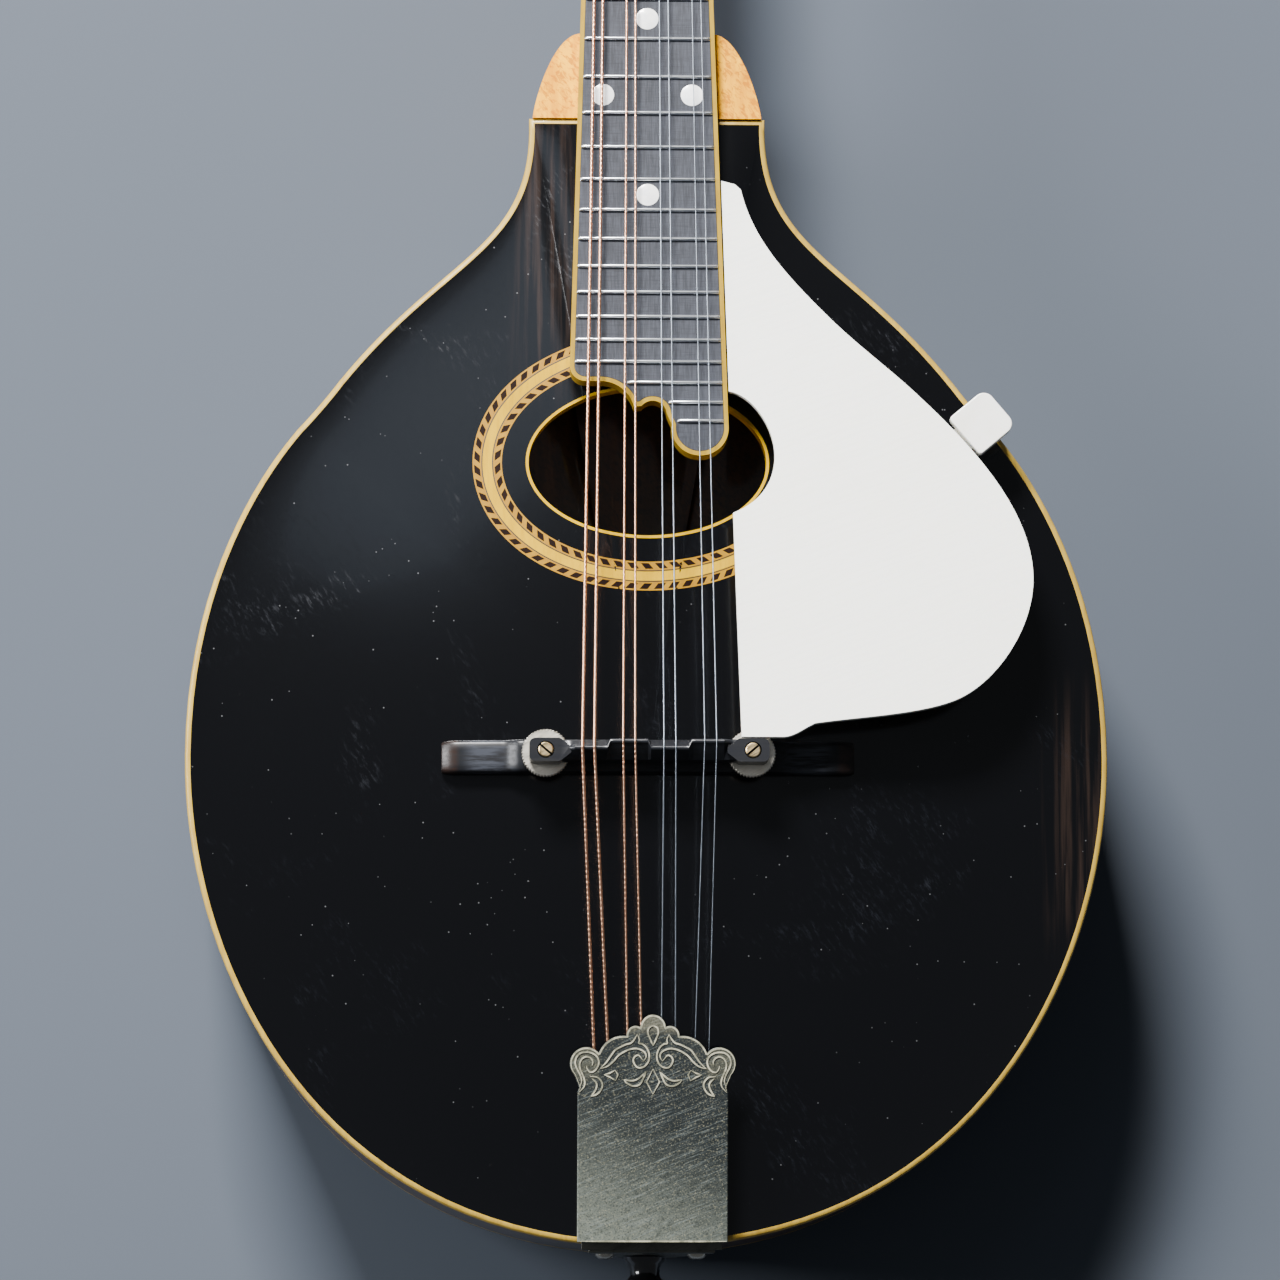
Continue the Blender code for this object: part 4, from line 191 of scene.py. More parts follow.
class Paint:
    """A material under construction; positions are the object's own, in metres."""

    def __init__(self, name, roughness=0.5, metallic=0.0, coat=0.0, gloss=0.5):
        self.material = bpy.data.materials.new(name)
        self.material.use_nodes = True
        self.tree = self.material.node_tree
        self.shader = self.tree.nodes["Principled BSDF"]
        self.place = self.tree.nodes.new("ShaderNodeTexCoord").outputs["Object"]
        self.put("Roughness", roughness)
        self.put("Metallic", metallic)
        self.put("Coat Weight", coat)
        self.put("Coat Roughness", 0.06)
        self.put("Specular IOR Level", gloss)

    def connect(self, socket, value):
        if isinstance(value, bpy.types.NodeSocket):
            self.tree.links.new(value, socket)
        else:
            socket.default_value = value

    def put(self, name, value):
        self.connect(self.shader.inputs[name], value)

    def node(self, kind, **inputs):
        made = self.tree.nodes.new("ShaderNode" + kind)
        for name, value in inputs.items():
            self.connect(made.inputs[name], value)
        return made

    def noise(self, scale, detail=3.0, rough=0.55, vector=None, bend=0.0):
        return self.node("TexNoise", Vector=vector or self.place, Scale=scale, Detail=detail,
                         Roughness=rough, Distortion=bend).outputs["Fac"]

    def stretched(self, scale, turn=0.0):
        mapping = self.node("Mapping", Vector=self.place)
        mapping.vector_type = "TEXTURE"
        mapping.inputs["Scale"].default_value = [1.0 / value for value in scale]
        mapping.inputs["Rotation"].default_value = (0.0, 0.0, turn)
        return mapping.outputs["Vector"]

    def streaks(self, scale, detail, rough, turn=0.0, bend=0.0):
        """Noise with its own scale along each axis, turned about Z."""
        return self.noise(1.0, detail, rough, self.stretched(scale, turn), bend)

    def cells(self, scale):
        return self.node("TexVoronoi", Vector=self.place, Scale=scale).outputs["Distance"]

    def bands(self, scale, vector=None, distortion=0.0):
        made = self.node("TexWave", Vector=vector or self.place, Scale=scale, Distortion=distortion)
        made.bands_direction = "Y"
        return made.outputs["Fac"]

    def axis(self, letter):
        return self.node("SeparateXYZ", Vector=self.place).outputs[letter]

    def fade(self, value, low, high, out_low=0.0, out_high=1.0):
        """A smooth step from one value at low to another at high."""
        names = ("Value", "From Min", "From Max", "To Min", "To Max")
        made = self.node("MapRange", **dict(zip(names, (value, low, high, out_low, out_high))))
        made.interpolation_type = "SMOOTHSTEP"
        return made.outputs["Result"]

    def maths(self, operation, *values):
        made = self.node("Math")
        made.operation = operation
        for socket, value in zip(made.inputs, values):
            self.connect(socket, value)
        return made.outputs[0]

    def times(self, first, *others):
        for other in others:
            first = self.maths("MULTIPLY", first, other)
        return first

    def plus(self, first, second):
        return self.maths("ADD", first, second)

    def where(self, *fades):
        """The share where all the fades, each a field with its low and high, are on."""
        return self.times(*(self.fade(*fade) for fade in fades))

    def two_tones(self, first, first_weight, second, second_weight):
        """A weighted sum of two fades."""
        return self.plus(self.times(self.fade(*first), first_weight),
                         self.times(self.fade(*second), second_weight))

    def mix(self, share, first, second):
        made = self.node("Mix")
        made.data_type = "RGBA"
        for socket, value in ((0, share), (6, first), (7, second)):
            self.connect(made.inputs[socket], (*value, 1.0) if isinstance(value, tuple) else value)
        return made.outputs[2]

    def tint(self, colour, other, field, low, high, weight=1.0):
        """Another colour over the first, from none where the field is low to all where it is high."""
        return self.mix(self.times(self.fade(field, low, high), weight), colour, other)

    def soften(self, weight):
        self.put("Subsurface Weight", weight)
        self.put("Subsurface Radius", (0.004, 0.003, 0.002))

    def finished(self, colour, relief=None, strength=0.1, distance=0.0001):
        """The material with its colour, and its relief as a bump."""
        self.put("Base Color", colour)
        if relief:
            self.put("Normal", self.node("Bump", Height=relief, Strength=strength,
                                         Distance=distance).outputs["Normal"])
        return self.material


def make_lacquer():
    """Black, worn brown beside the board and at the treble edge, with dust, and hazy swirls whose pale bluish
    colour is a painted sheen.
    """
    paint = Paint("black_lacquer", 0.2, coat=0.2)
    grain = paint.streaks((420.0, 14.0, 60.0), 6.0, 0.6)
    x, y = paint.axis("X"), paint.axis("Y")
    by_board = paint.where((x, -0.040, -0.029), (x, -0.017, -0.021), (y, -0.085, -0.055))
    by_edge = paint.where((x, 0.104, 0.117), (y, -0.150, -0.180), (y, -0.235, -0.212))
    wear_and_sheen = paint.times(paint.plus(by_board, paint.times(by_edge, 0.8)), paint.fade(grain, 0.42, 0.66))
    colour = paint.mix(wear_and_sheen, (0.0012, 0.0013, 0.0018), (0.020, 0.0125, 0.0095))
    swirls = paint.fade(paint.streaks((900.0, 260.0, 300.0), 5.0, 0.7, 0.6), 0.50, 0.72)
    swirl_haze_and_sheen = paint.times(paint.fade(paint.noise(26.0, 3.0, 0.6, bend=0.6), 0.52, 0.72), swirls)
    # painted sheen: the swirls are real marks, and their pale bluish tint stands in for light reflected in
    # them
    colour = paint.mix(paint.times(swirl_haze_and_sheen, 0.4), colour, (0.009, 0.011, 0.017))
    dust = paint.where((paint.cells(330.0), 0.085, 0.050), (paint.noise(70.0, 2.0), 0.50, 0.58))
    colour = paint.mix(paint.times(dust, 0.5), colour, (0.080, 0.084, 0.090))
    rough = paint.plus(paint.times(swirl_haze_and_sheen, 0.20), 0.16)
    paint.put("Roughness", paint.plus(rough, paint.times(dust, 0.5)))
    return paint.finished(colour, paint.plus(paint.times(grain, 0.5), swirls), 0.05, 0.00012)


def make_ivoroid(name, light, dark, roughness=0.28, coat=0.3, gloss=0.5):
    paint = Paint(name, roughness, coat=coat, gloss=gloss)
    lines = paint.streaks((700.0, 90.0, 700.0), 4.0, 0.6)
    share = paint.two_tones((lines, 0.35, 0.75), 0.6, (paint.noise(45.0), 0.45, 0.75), 0.4)
    return paint.finished(paint.mix(share, light, dark), lines, 0.06)


def make_guard_ivoroid():
    """Aged white: nearly plain, yellower in places, with fine scratches and specks."""
    paint = Paint("aged_ivoroid", 0.3, coat=0.35)
    tone = paint.noise(22.0, 4.0, 0.6)
    lines = paint.streaks((60.0, 900.0, 300.0), 4.0, 0.6, 0.35)
    colour = paint.tint((0.93, 0.935, 0.875), (0.88, 0.865, 0.76), tone, 0.40, 0.80, 0.35)
    specks = paint.where((paint.cells(160.0), 0.05, 0.03), (paint.noise(48.0, 2.0), 0.60, 0.66))
    colour = paint.mix(paint.times(specks, 0.6), colour, (0.42, 0.36, 0.26))
    paint.put("Roughness", paint.fade(lines, 0.3, 0.8, 0.22, 0.40))
    paint.soften(0.12)
    return paint.finished(colour, lines, 0.04)


def make_clamp_ivoroid():
    """White above, brown towards its foot, where the block meets the metal."""
    paint = Paint("clamp_ivoroid", 0.28, coat=0.3)
    tone = paint.noise(120.0, 4.0, 0.6)
    level = paint.plus(paint.axis("Z"), paint.times(tone, 0.0006))
    colour = paint.tint((0.94, 0.93, 0.88), (0.88, 0.86, 0.78), tone, 0.4, 0.8)
    colour = paint.tint(colour, (0.36, 0.22, 0.10), level, 0.0795, 0.0783, 0.75)
    paint.soften(0.1)
    return paint.finished(colour, tone, 0.08)


def make_maple(name, light, dark, fleck, coat, gloss=0.5):
    paint = Paint(name, 0.32, coat=coat, gloss=gloss)
    grain = paint.streaks((260.0, 22.0, 200.0), 5.0, 0.6)
    curl = paint.bands(36.0, paint.stretched((0.5, 1.0, 0.7)), 5.0)
    flecks = paint.streaks((900.0, 420.0, 700.0), 3.0, 0.6, 0.7, 0.8)
    colour = paint.tint(light, dark, grain, 0.36, 0.66)
    colour = paint.mix(paint.times(curl, 0.22), colour, dark)
    return paint.finished(paint.tint(colour, fleck, flecks, 0.46, 0.64, 0.75), grain, 0.08)


def make_wood(name, light, dark, roughness, scale=(500.0, 16.0, 500.0), coat=0.0, bump=0.15, gloss=0.5):
    paint = Paint(name, roughness, coat=coat, gloss=gloss)
    grain = paint.streaks(scale, 6.0, 0.65)
    broad = paint.streaks([value * 0.16 for value in scale], 2.0, 0.5)
    share = paint.two_tones((grain, 0.32, 0.72), 0.7, (broad, 0.35, 0.65), 0.3)
    paint.put("Roughness", paint.fade(grain, 0.3, 0.8, roughness - 0.05, roughness + 0.12))
    return paint.finished(paint.mix(share, light, dark), grain, bump, 0.0002)


def make_board_ebony():
    """Worn bluish grey, with fine grain along the board crossed by finer scratches."""
    paint = Paint("board_ebony", gloss=0.2)
    grain = paint.streaks((2400.0, 150.0, 900.0), 5.0, 0.7)
    cross = paint.streaks((170.0, 3000.0, 900.0), 4.0, 0.7)
    colour = paint.tint((0.038, 0.042, 0.054), (0.018, 0.020, 0.026), grain, 0.34, 0.66)
    colour = paint.tint(colour, (0.012, 0.013, 0.017), cross, 0.45, 0.68, 0.55)
    colour = paint.tint(colour, (0.048, 0.052, 0.066), paint.noise(90.0, 3.0, 0.6), 0.50, 0.75, 0.35)
    return paint.finished(colour, paint.plus(grain, cross))


def make_foot_ebony():
    """A painted grey sheen along the top of each wing, browner towards both ends."""
    paint = Paint("foot_ebony", gloss=0.3)
    grain = paint.streaks((60.0, 900.0, 900.0), 5.0, 0.65)
    across = paint.maths("ABSOLUTE", paint.axis("X"))
    # painted sheen: this grey band part way along each wing stands in for the light's reflection there
    wear_and_sheen = paint.where((across, 0.034, 0.042), (across, 0.051, 0.046), (grain, 0.65, 0.40))
    colour = paint.tint((0.008, 0.009, 0.011), (0.004, 0.004, 0.005), grain, 0.35, 0.70)
    colour = paint.mix(wear_and_sheen, colour, (0.034, 0.037, 0.046))
    brown = paint.tint((0.017, 0.010, 0.008), (0.006, 0.004, 0.004), grain, 0.35, 0.70)
    paint.put("Roughness", paint.fade(grain, 0.3, 0.8, 0.28, 0.46))
    return paint.finished(paint.mix(paint.fade(across, 0.0505, 0.0525), colour, brown), grain, 0.12)


def make_metal(name, light, dark, roughness, patina=0.5):
    paint = Paint(name, roughness, metallic=1.0)
    brushed = paint.streaks((240.0, 2600.0, 600.0), 5.0, 0.7, 0.5)
    blots = paint.noise(130.0, 4.0, 0.65, bend=0.4)
    share = paint.two_tones((blots, 0.40, 0.68), patina, (brushed, 0.45, 0.70), 0.35)
    paint.put("Roughness", paint.fade(brushed, 0.3, 0.75, roughness - 0.06, roughness + 0.16))
    return paint.finished(paint.mix(share, light, dark), brushed)


def make_cover_metal():
    """Old nickel silver: grey-green and brushed on a slant, with a painted sheen that grows paler towards the
    tail and a painted highlight on the crown.
    """
    paint = Paint("aged_nickel_cover", metallic=0.6)
    brushed = paint.streaks((110.0, 2600.0, 300.0), 6.0, 0.75, 0.38)
    blots, fine = paint.noise(480.0, 5.0, 0.7), paint.noise(2200.0, 3.0, 0.7)
    x, y = paint.plus(paint.axis("X"), -TAIL_OFFSET), paint.plus(paint.axis("Y"), MIDDLE)
    slant = paint.plus(y, paint.times(paint.axis("X"), 0.45))
    # painted sheen: paler along a slant towards the tail, standing in for the light the metal reflects
    painted_slant_sheen = paint.maths("POWER", paint.fade(slant, -0.092, -0.142), 1.3)
    lobes = paint.where((paint.maths("ABSOLUTE", x), 0.0135, 0.0155), (y, -0.090, -0.087))
    colour = paint.mix(painted_slant_sheen, (0.028, 0.034, 0.036), (0.22, 0.245, 0.205))
    colour = paint.mix(paint.times(lobes, 0.45), colour, (0.17, 0.17, 0.12))
    # the first tint is a painted highlight on the crown; the others are blots, brushing and fine specks
    for other, *fade in (((0.26, 0.25, 0.18), y, -0.0775, -0.0745, 0.6),
                         ((0.020, 0.025, 0.024), blots, 0.46, 0.66, 0.35),
                         ((0.24, 0.28, 0.27), brushed, 0.52, 0.64, 0.5),
                         ((0.016, 0.020, 0.020), fine, 0.46, 0.36, 0.6),
                         ((0.42, 0.40, 0.27), fine, 0.54, 0.70, 0.6)):
        colour = paint.tint(colour, other, *fade)
    paint.put("Roughness", paint.fade(brushed, 0.3, 0.75, 0.30, 0.50))
    return paint.finished(colour, brushed, 0.15)


def make_wire(name, light, dark, pitch=None):
    paint = Paint(name, 0.30, metallic=1.0)
    turns = paint.bands(0.05 / pitch) if pitch else None
    return paint.finished(paint.tint(light, dark, paint.noise(70.0), 0.4, 0.8), turns, 0.5)


def make_plain(name, light, dark, roughness, scale=300.0, **settings):
    paint = Paint(name, roughness, **settings)
    tone = paint.noise(scale, 4.0, 0.6)
    return paint.finished(paint.tint(light, dark, tone, 0.35, 0.70), tone, 0.12)


def make_floor_paint():
    paint = Paint("studio_floor", 0.85)
    return paint.finished(paint.mix(paint.noise(3.0, 3.0, 0.5), (0.052, 0.064, 0.084), (0.056, 0.069, 0.090)))


LACQUER = make_lacquer()
YELLOW_IVOROID = make_ivoroid("yellow_ivoroid", (0.52, 0.31, 0.002), (0.38, 0.21, 0.001), 0.5, 0.0, 0.05)
EDGE_IVOROID = make_ivoroid("edge_ivoroid", (0.42, 0.28, 0.045), (0.28, 0.165, 0.018), 0.35, 0.05, 0.3)
BOARD_EDGE = make_ivoroid("board_edge_ivoroid", (0.32, 0.205, 0.016), (0.22, 0.125, 0.006), 0.4, 0.0, 0.1)
GUARD_IVOROID = make_guard_ivoroid()
BUTTON_IVOROID = make_ivoroid("button_ivoroid", (0.82, 0.78, 0.66), (0.74, 0.66, 0.48), 0.22)
CLAMP_IVOROID = make_clamp_ivoroid()
MAPLE = make_maple("amber_maple", (0.92, 0.43, 0.002), (0.66, 0.255, 0.001), (0.42, 0.130, 0.001), 0.0, 0.1)
BODY_WOOD = make_maple("body_maple", (0.085, 0.028, 0.009), (0.045, 0.013, 0.005), (0.024, 0.008, 0.004), 0.6)
SPRUCE = make_wood("bare_spruce", (0.40, 0.27, 0.14), (0.28, 0.17, 0.08), 0.62, (700.0, 20.0, 300.0))
LINING_WOOD = make_wood("lining_wood", (0.24, 0.14, 0.07), (0.16, 0.085, 0.04), 0.6, (90.0, 90.0, 500.0))
EBONY_BOARD = make_board_ebony()
EBONY_BRIDGE = make_wood("bridge_ebony", (0.009, 0.010, 0.013), (0.004, 0.004, 0.005), 0.36,
                         (50.0, 900.0, 900.0), 0.1, gloss=0.35)
FOOT_EBONY = make_foot_ebony()
HEAD_EBONY = make_wood("headstock_ebony", (0.005, 0.005, 0.006), (0.003, 0.003, 0.0035), 0.16,
                       coat=0.6, bump=0.05)
ROPE_DARK = make_wood("rope_dark", (0.012, 0.005, 0.003), (0.007, 0.003, 0.002), 0.5,
                      (900.0, 900.0, 500.0), 0.0, 0.1, 0.05)
ROPE_LIGHT = make_wood("rope_light", (0.33, 0.175, 0.006), (0.24, 0.110, 0.004), 0.4,
                       (900.0, 900.0, 500.0), 0.0, 0.1, 0.2)
THIN_BLACK = make_plain("thin_black_line", (0.008, 0.005, 0.004), (0.005, 0.004, 0.003), 0.4)
PEARL = make_plain("pearl", (0.92, 0.92, 0.90), (0.78, 0.80, 0.82), 0.16, 420.0, coat=0.4)
BONE = make_plain("bone", (0.80, 0.74, 0.60), (0.70, 0.61, 0.44), 0.35, 500.0)
FELT = make_plain("felt", (0.05, 0.045, 0.04), (0.025, 0.022, 0.02), 0.95, 1800.0)
# painted shade: a darker copy of the nickel for the hook plate, which lies in the cover's shadow
SHADED_PLATE_NICKEL = make_metal("shaded_plate_nickel", (0.12, 0.12, 0.105), (0.05, 0.05, 0.045), 0.34)
NICKEL = make_metal("aged_nickel", (0.50, 0.48, 0.42), (0.24, 0.22, 0.19), 0.28)
WHEEL_METAL = make_metal("worn_wheel_nickel", (0.90, 0.85, 0.74), (0.62, 0.57, 0.46), 0.36, 0.35)
BRASS = make_metal("aged_brass", (0.92, 0.72, 0.40), (0.58, 0.40, 0.20), 0.30)
COVER_METAL = make_cover_metal()
# partly painted highlight: the scrollwork is real engraving and its pale colour stands in for light caught in
# the cuts; along the cover's edges the pale lines are painted highlight only
ENGRAVING_AND_HIGHLIGHT = make_plain("engraving_and_painted_highlight", (0.50, 0.48, 0.35), (0.16, 0.16, 0.11), 0.36, 420.0, metallic=0.25)
# painted shade: a dark material for the shade in the engraved cuts and inside the posts' slots
GROOVE_SHADE = make_plain("painted_groove_shade", (0.006, 0.007, 0.006), (0.003, 0.004, 0.003), 0.6, 900.0, gloss=0.2)
FRET_METAL = make_wire("fret_metal", (0.90, 0.93, 0.96), (0.74, 0.77, 0.80))
BRONZE = make_wire("bronze_winding", (0.84, 0.47, 0.30), (0.64, 0.33, 0.20), 0.00022)
STEEL = make_wire("steel_wire", (0.40, 0.45, 0.52), (0.24, 0.27, 0.31))
FLOOR = make_floor_paint()

# Materials grouped by the slot they would belong to; these lines build the groups and keep none of them
dict.fromkeys((YELLOW_IVOROID, EDGE_IVOROID, BOARD_EDGE), "ivoroid")
dict.fromkeys((GUARD_IVOROID, BUTTON_IVOROID, CLAMP_IVOROID), "white_ivoroid")
dict.fromkeys((EBONY_BOARD, EBONY_BRIDGE, FOOT_EBONY, HEAD_EBONY), "ebony")
dict.fromkeys((NICKEL, SHADED_PLATE_NICKEL, WHEEL_METAL, COVER_METAL, ENGRAVING_AND_HIGHLIGHT, FRET_METAL), "nickel")


# Mesh tools

def unit(value):
    return min(1.0, max(0.0, value))


def several(value):
    return value if isinstance(value, (list, tuple)) else [value]


def round_angles(count):
    return [2 * pi * index / count for index in range(count)]


def on_circle(radius, angle):
    return radius * cos(angle), radius * sin(angle)


def new_mesh(points, faces, marks=None):
    """A mesh from points and faces; marks gives each face's material number."""
    mesh = bpy.data.meshes.new("shape")
    mesh.from_pydata([tuple(point) for point in points], [], faces)
    if marks:
        mesh.polygons.foreach_set("material_index", marks)
    builder = bmesh.new()
    builder.from_mesh(mesh)
    bmesh.ops.remove_doubles(builder, verts=builder.verts, dist=1e-7)
    bmesh.ops.recalc_face_normals(builder, faces=builder.faces)
    builder.to_mesh(mesh)
    builder.free()
    return mesh


def loft(sections, closed_path=False):
    """Skin between equally long closed sections."""
    count, rows = len(sections[0]), len(sections)
    faces = []
    for row in range(rows if closed_path else rows - 1):
        low, high = row * count, (row + 1) % rows * count
        for index in range(count):
            after = (index + 1) % count
            faces.append((low + index, low + after, high + after, high + index))
    if not closed_path:
        faces += [tuple(range(count)), tuple(range((rows - 1) * count, rows * count))]
    return new_mesh([point for section in sections for point in section], faces)


def drawn(profile, places, axis="X"):
    """A flat profile drawn out along an axis."""
    gap = "XYZ".index(axis)
    return loft([[(*point[:gap], place, *point[gap:]) for point in profile] for place in places])


def prism(outline, low, high):
    return drawn(outline, (low, high), "Z")


def box(low, high):
    (x, y, z), (X, Y, Z) = low, high
    return prism([(x, y), (X, y), (X, Y), (x, Y)], z, Z)


def lathe(profile, sides=48, axis="Z"):
    """A turned shape: the profile is (height, radius) from end to end."""
    turn = {"Z": Matrix.Identity(3), "X": Matrix.Rotation(pi / 2, 3, "Y"),
            "Y": Matrix.Rotation(-pi / 2, 3, "X")}[axis]
    return loft([[turn @ Vector((*on_circle(radius, angle), level)) for angle in round_angles(sides)]
                 for level, radius in profile])


def tube(path, radius, sides=10):
    """A round wire along the points, turned along with the path."""
    path = [Vector(point) for point in path]
    side = (path[1] - path[0]).normalized().orthogonal().normalized()
    sections = []
    for index, point in enumerate(path):
        tangent = (path[min(index + 1, len(path) - 1)] - path[max(index - 1, 0)]).normalized()
        side = (side - tangent * side.dot(tangent)).normalized()
        other = tangent.cross(side)
        ring = (on_circle(radius, angle) for angle in round_angles(sides))
        sections.append([point + side * across + other * up for across, up in ring])
    return loft(sections)


def joined(meshes):
    """Several meshes as one, keeping the number of each face's material."""
    builder = bmesh.new()
    for mesh in meshes:
        builder.from_mesh(mesh)
        bpy.data.meshes.remove(mesh)
    result = bpy.data.meshes.new("shapes")
    builder.to_mesh(result)
    builder.free()
    return result


def moved(mesh, matrix):
    mesh.transform(matrix)
    return mesh


def shaded(mesh, sharp=38.0):
    mesh.shade_smooth()
    mesh.set_sharp_from_angle(angle=radians(sharp))


def piece(name, mesh, paints, matrix, stands_for=(), body="instrument", bevel=0.0, segments=2, sharp=38.0):
    """A piece of the object: its mesh in place, its materials, an edge rounding and what it rides on."""
    mesh.name = name
    made = linked(name, moved(mesh, matrix))
    for paint in several(paints):
        mesh.materials.append(paint)
    shaded(mesh, sharp)
    if bevel:
        modifier = made.modifiers.new("edges", "BEVEL")
        modifier.width = bevel
        modifier.segments = segments
        modifier.limit_method = "ANGLE"
        modifier.angle_limit = radians(sharp)
        modifier.harden_normals = True
    if body:
        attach(made, body)
    if stands_for:
        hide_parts(*several(stands_for))
    return made


def carve(made, mesh, operation="DIFFERENCE"):
    """Cuts one mesh out of a piece, or adds it, for good."""
    tool = linked("tool", mesh)
    modifier = made.modifiers.new("carve", "BOOLEAN")
    modifier.object = tool
    modifier.operation = operation
    modifier.solver = "EXACT"
    made.modifiers.move(len(made.modifiers) - 1, 0)
    with bpy.context.temp_override(object=made, active_object=made, selected_objects=[made]):
        bpy.ops.object.modifier_apply(modifier=modifier.name)
    bpy.data.objects.remove(tool, do_unlink=True)
    shaded(made.data)


def dress(paint, *nodes):
    for name in nodes:
        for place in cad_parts[name].material_slots:
            place.material = paint


# Flat paths

def arc(centre_x, centre_y, radius, first, last, steps):
    return [(centre_x + radius * cos(a), centre_y + radius * sin(a))
            for a in np.linspace(radians(first), radians(last), steps + 1)]


def bezier(start, out, back, end, steps, last=False):
    points = []
    a, b, c, d = (np.array(point) for point in (start, out, back, end))
    for share in np.arange(steps + (1 if last else 0)) / steps:
        rest = 1 - share
        points.append(tuple(rest ** 3 * a + 3 * rest ** 2 * share * b + 3 * rest * share ** 2 * c
                            + share ** 3 * d))
    return points


def curve(points, steps=9):
    """A smooth line through the points."""
    points = [np.array(point, float) for point in points]
    ends = [2 * points[0] - points[1]] + points + [2 * points[-1] - points[-2]]
    path = []
    for a, b, c, d in zip(ends, ends[1:], ends[2:], ends[3:]):
        for share in np.arange(steps) / steps:
            path.append(0.5 * (2 * b + (c - a) * share + (2 * a - 5 * b + 4 * c - d) * share ** 2
                               + (3 * b - a - 3 * c + d) * share ** 3))
    return path + [points[-1]]


def mirrored(path):
    return [(-x, y) for x, y in path]


def rounded_plan(low, high, corners):
    """A rectangle with round corners; corners gives the radius and steps at the high and the low end of X."""
    (x, y), (X, Y), (far, near) = low, high, corners
    points = []
    for sign_x, sign_y, first in ((1, 1, 0), (-1, 1, 90), (-1, -1, 180), (1, -1, 270)):
        radius, steps = far if sign_x > 0 else near
        centre_x = X - radius if sign_x > 0 else x + radius
        centre_y = Y - radius if sign_y > 0 else y + radius
        points += arc(centre_x, centre_y, radius, first, first + 90, steps)
    return points


def course_places(spread, pair):
    """Where the eight strings lie across: the four courses, two strings each."""
    return [spread * (course / 3 - 0.5) + pair / 2 * side for course in range(4) for side in (-1, 1)]


# Body

def half_outline(inset=0.0, joint_inset=0.0, steps=(34, 24, 34)):
    """The treble half of the body from the tail to the neck joint, moved inwards by the insets."""
    joint = (JOINT_HALF_WIDTH, JOINT_REACH)
    anchor = (0.7171 * HALF_WIDTH, 0.5411 * JOINT_REACH)
    points = bezier((0.0, -TAIL_REACH), (0.7123 * HALF_WIDTH, -TAIL_REACH),
                    (HALF_WIDTH, -0.4315 * TAIL_REACH), (HALF_WIDTH, 0.0), steps[0])
    points += bezier((HALF_WIDTH, 0.0), (HALF_WIDTH, 0.3639 * JOINT_REACH), anchor, anchor, steps[1])
    points += bezier(anchor, (anchor[0] - 0.2518 * HALF_WIDTH, anchor[1] + 0.2497 * JOINT_REACH),
                     (joint[0] * 0.957, joint[1] * 0.779), joint, steps[2], True)
    path = np.array(points)
    near = [index for index, point in enumerate(points) if dist(point, anchor) < 0.010]
    first, last = path[near[0]].copy(), path[near[-1]].copy()
    for index, share in zip(near, np.linspace(0.0, 1.0, len(near))):
        rest = 1 - share
        path[index] = rest ** 2 * first + 2 * rest * share * np.array(anchor) + share ** 2 * last
    tangents = np.gradient(path, axis=0)
    tangents[0] = (1.0, 0.0)
    tangents /= np.linalg.norm(tangents, axis=1)[:, None]
    shifted = path + inset * np.stack((-tangents[:, 1], tangents[:, 0]), axis=1)
    shifted[-1][1] = JOINT_REACH - joint_inset
    return [tuple(point) for point in shifted]


def whole_path(inset):
    half = half_outline(inset)
    return mirrored(reversed(half[1:])) + half


def closed_outline(inset):
    right = half_outline(inset, inset)
    width, reach = right[-1]
    across = [(width * share, reach) for share in (0.75, 0.5, 0.25, 0.0, -0.25, -0.5, -0.75)]
    return right + across + mirrored(reversed(right[1:]))


PLATE_EDGE = closed_outline(BINDING_WIDTH)
SEGMENTS = np.array([(a, b) for a, b in zip(PLATE_EDGE, PLATE_EDGE[1:] + PLATE_EDGE[:1])])
BACK_FACE = -RIM_DEPTH - SEAT_GAP


def radial_share(x, y):
    """How far out a point is from the bridge, as a share of the plate's edge on its ray."""
    if hypot(x, y) < 1e-9:
        return 0.0
    (ax, ay), (bx, by) = SEGMENTS[:, 0].T, SEGMENTS[:, 1].T
    area = ax * by - ay * bx
    first, second = (x * by - y * bx) / area, (ax * y - ay * x) / area
    inside = np.where((first >= -1e-9) & (second >= -1e-9))[0]
    return float(first[inside[0]] + second[inside[0]]) if len(inside) else 1.0


def arch_shape(share):
    return max(0.0, 1.0 - share * share) ** ARCH_POWER


def top_height(x, y):
    return EDGE_THICKNESS + TOP_ARCH * arch_shape(radial_share(x, y))


def plate(outer, inner, base, sign, rings=30):
    """A carved plate between two height functions of the radial share."""
    count = len(PLATE_EDGE)
    outer_rings = [sin(pi / 2 * (index + 1) / rings) for index in range(rings)]
    inner_rings = [0.2, 0.4, 0.6, 0.75, 0.86, 0.93, 1.0]
    points, faces = [], []

    def surface(shares, height):
        start = len(points)
        points.append((0.0, 0.0, base + sign * height(0.0)))
        for share in shares:
            points.extend((x * share, y * share, base + sign * height(share)) for x, y in PLATE_EDGE)
        for index in range(count):
            after = (index + 1) % count
            faces.append((start, start + 1 + index, start + 1 + after))
            for row in range(len(shares) - 1):
                low = start + 1 + row * count
                faces.append((low + index, low + count + index, low + count + after, low + after))
        return start + 1 + (len(shares) - 1) * count

    first = surface(outer_rings, outer)
    second = surface(inner_rings, inner)
    for index in range(count):
        after = (index + 1) % count
        faces.append((first + index, second + index, second + after, first + after))
    return new_mesh(points, faces)


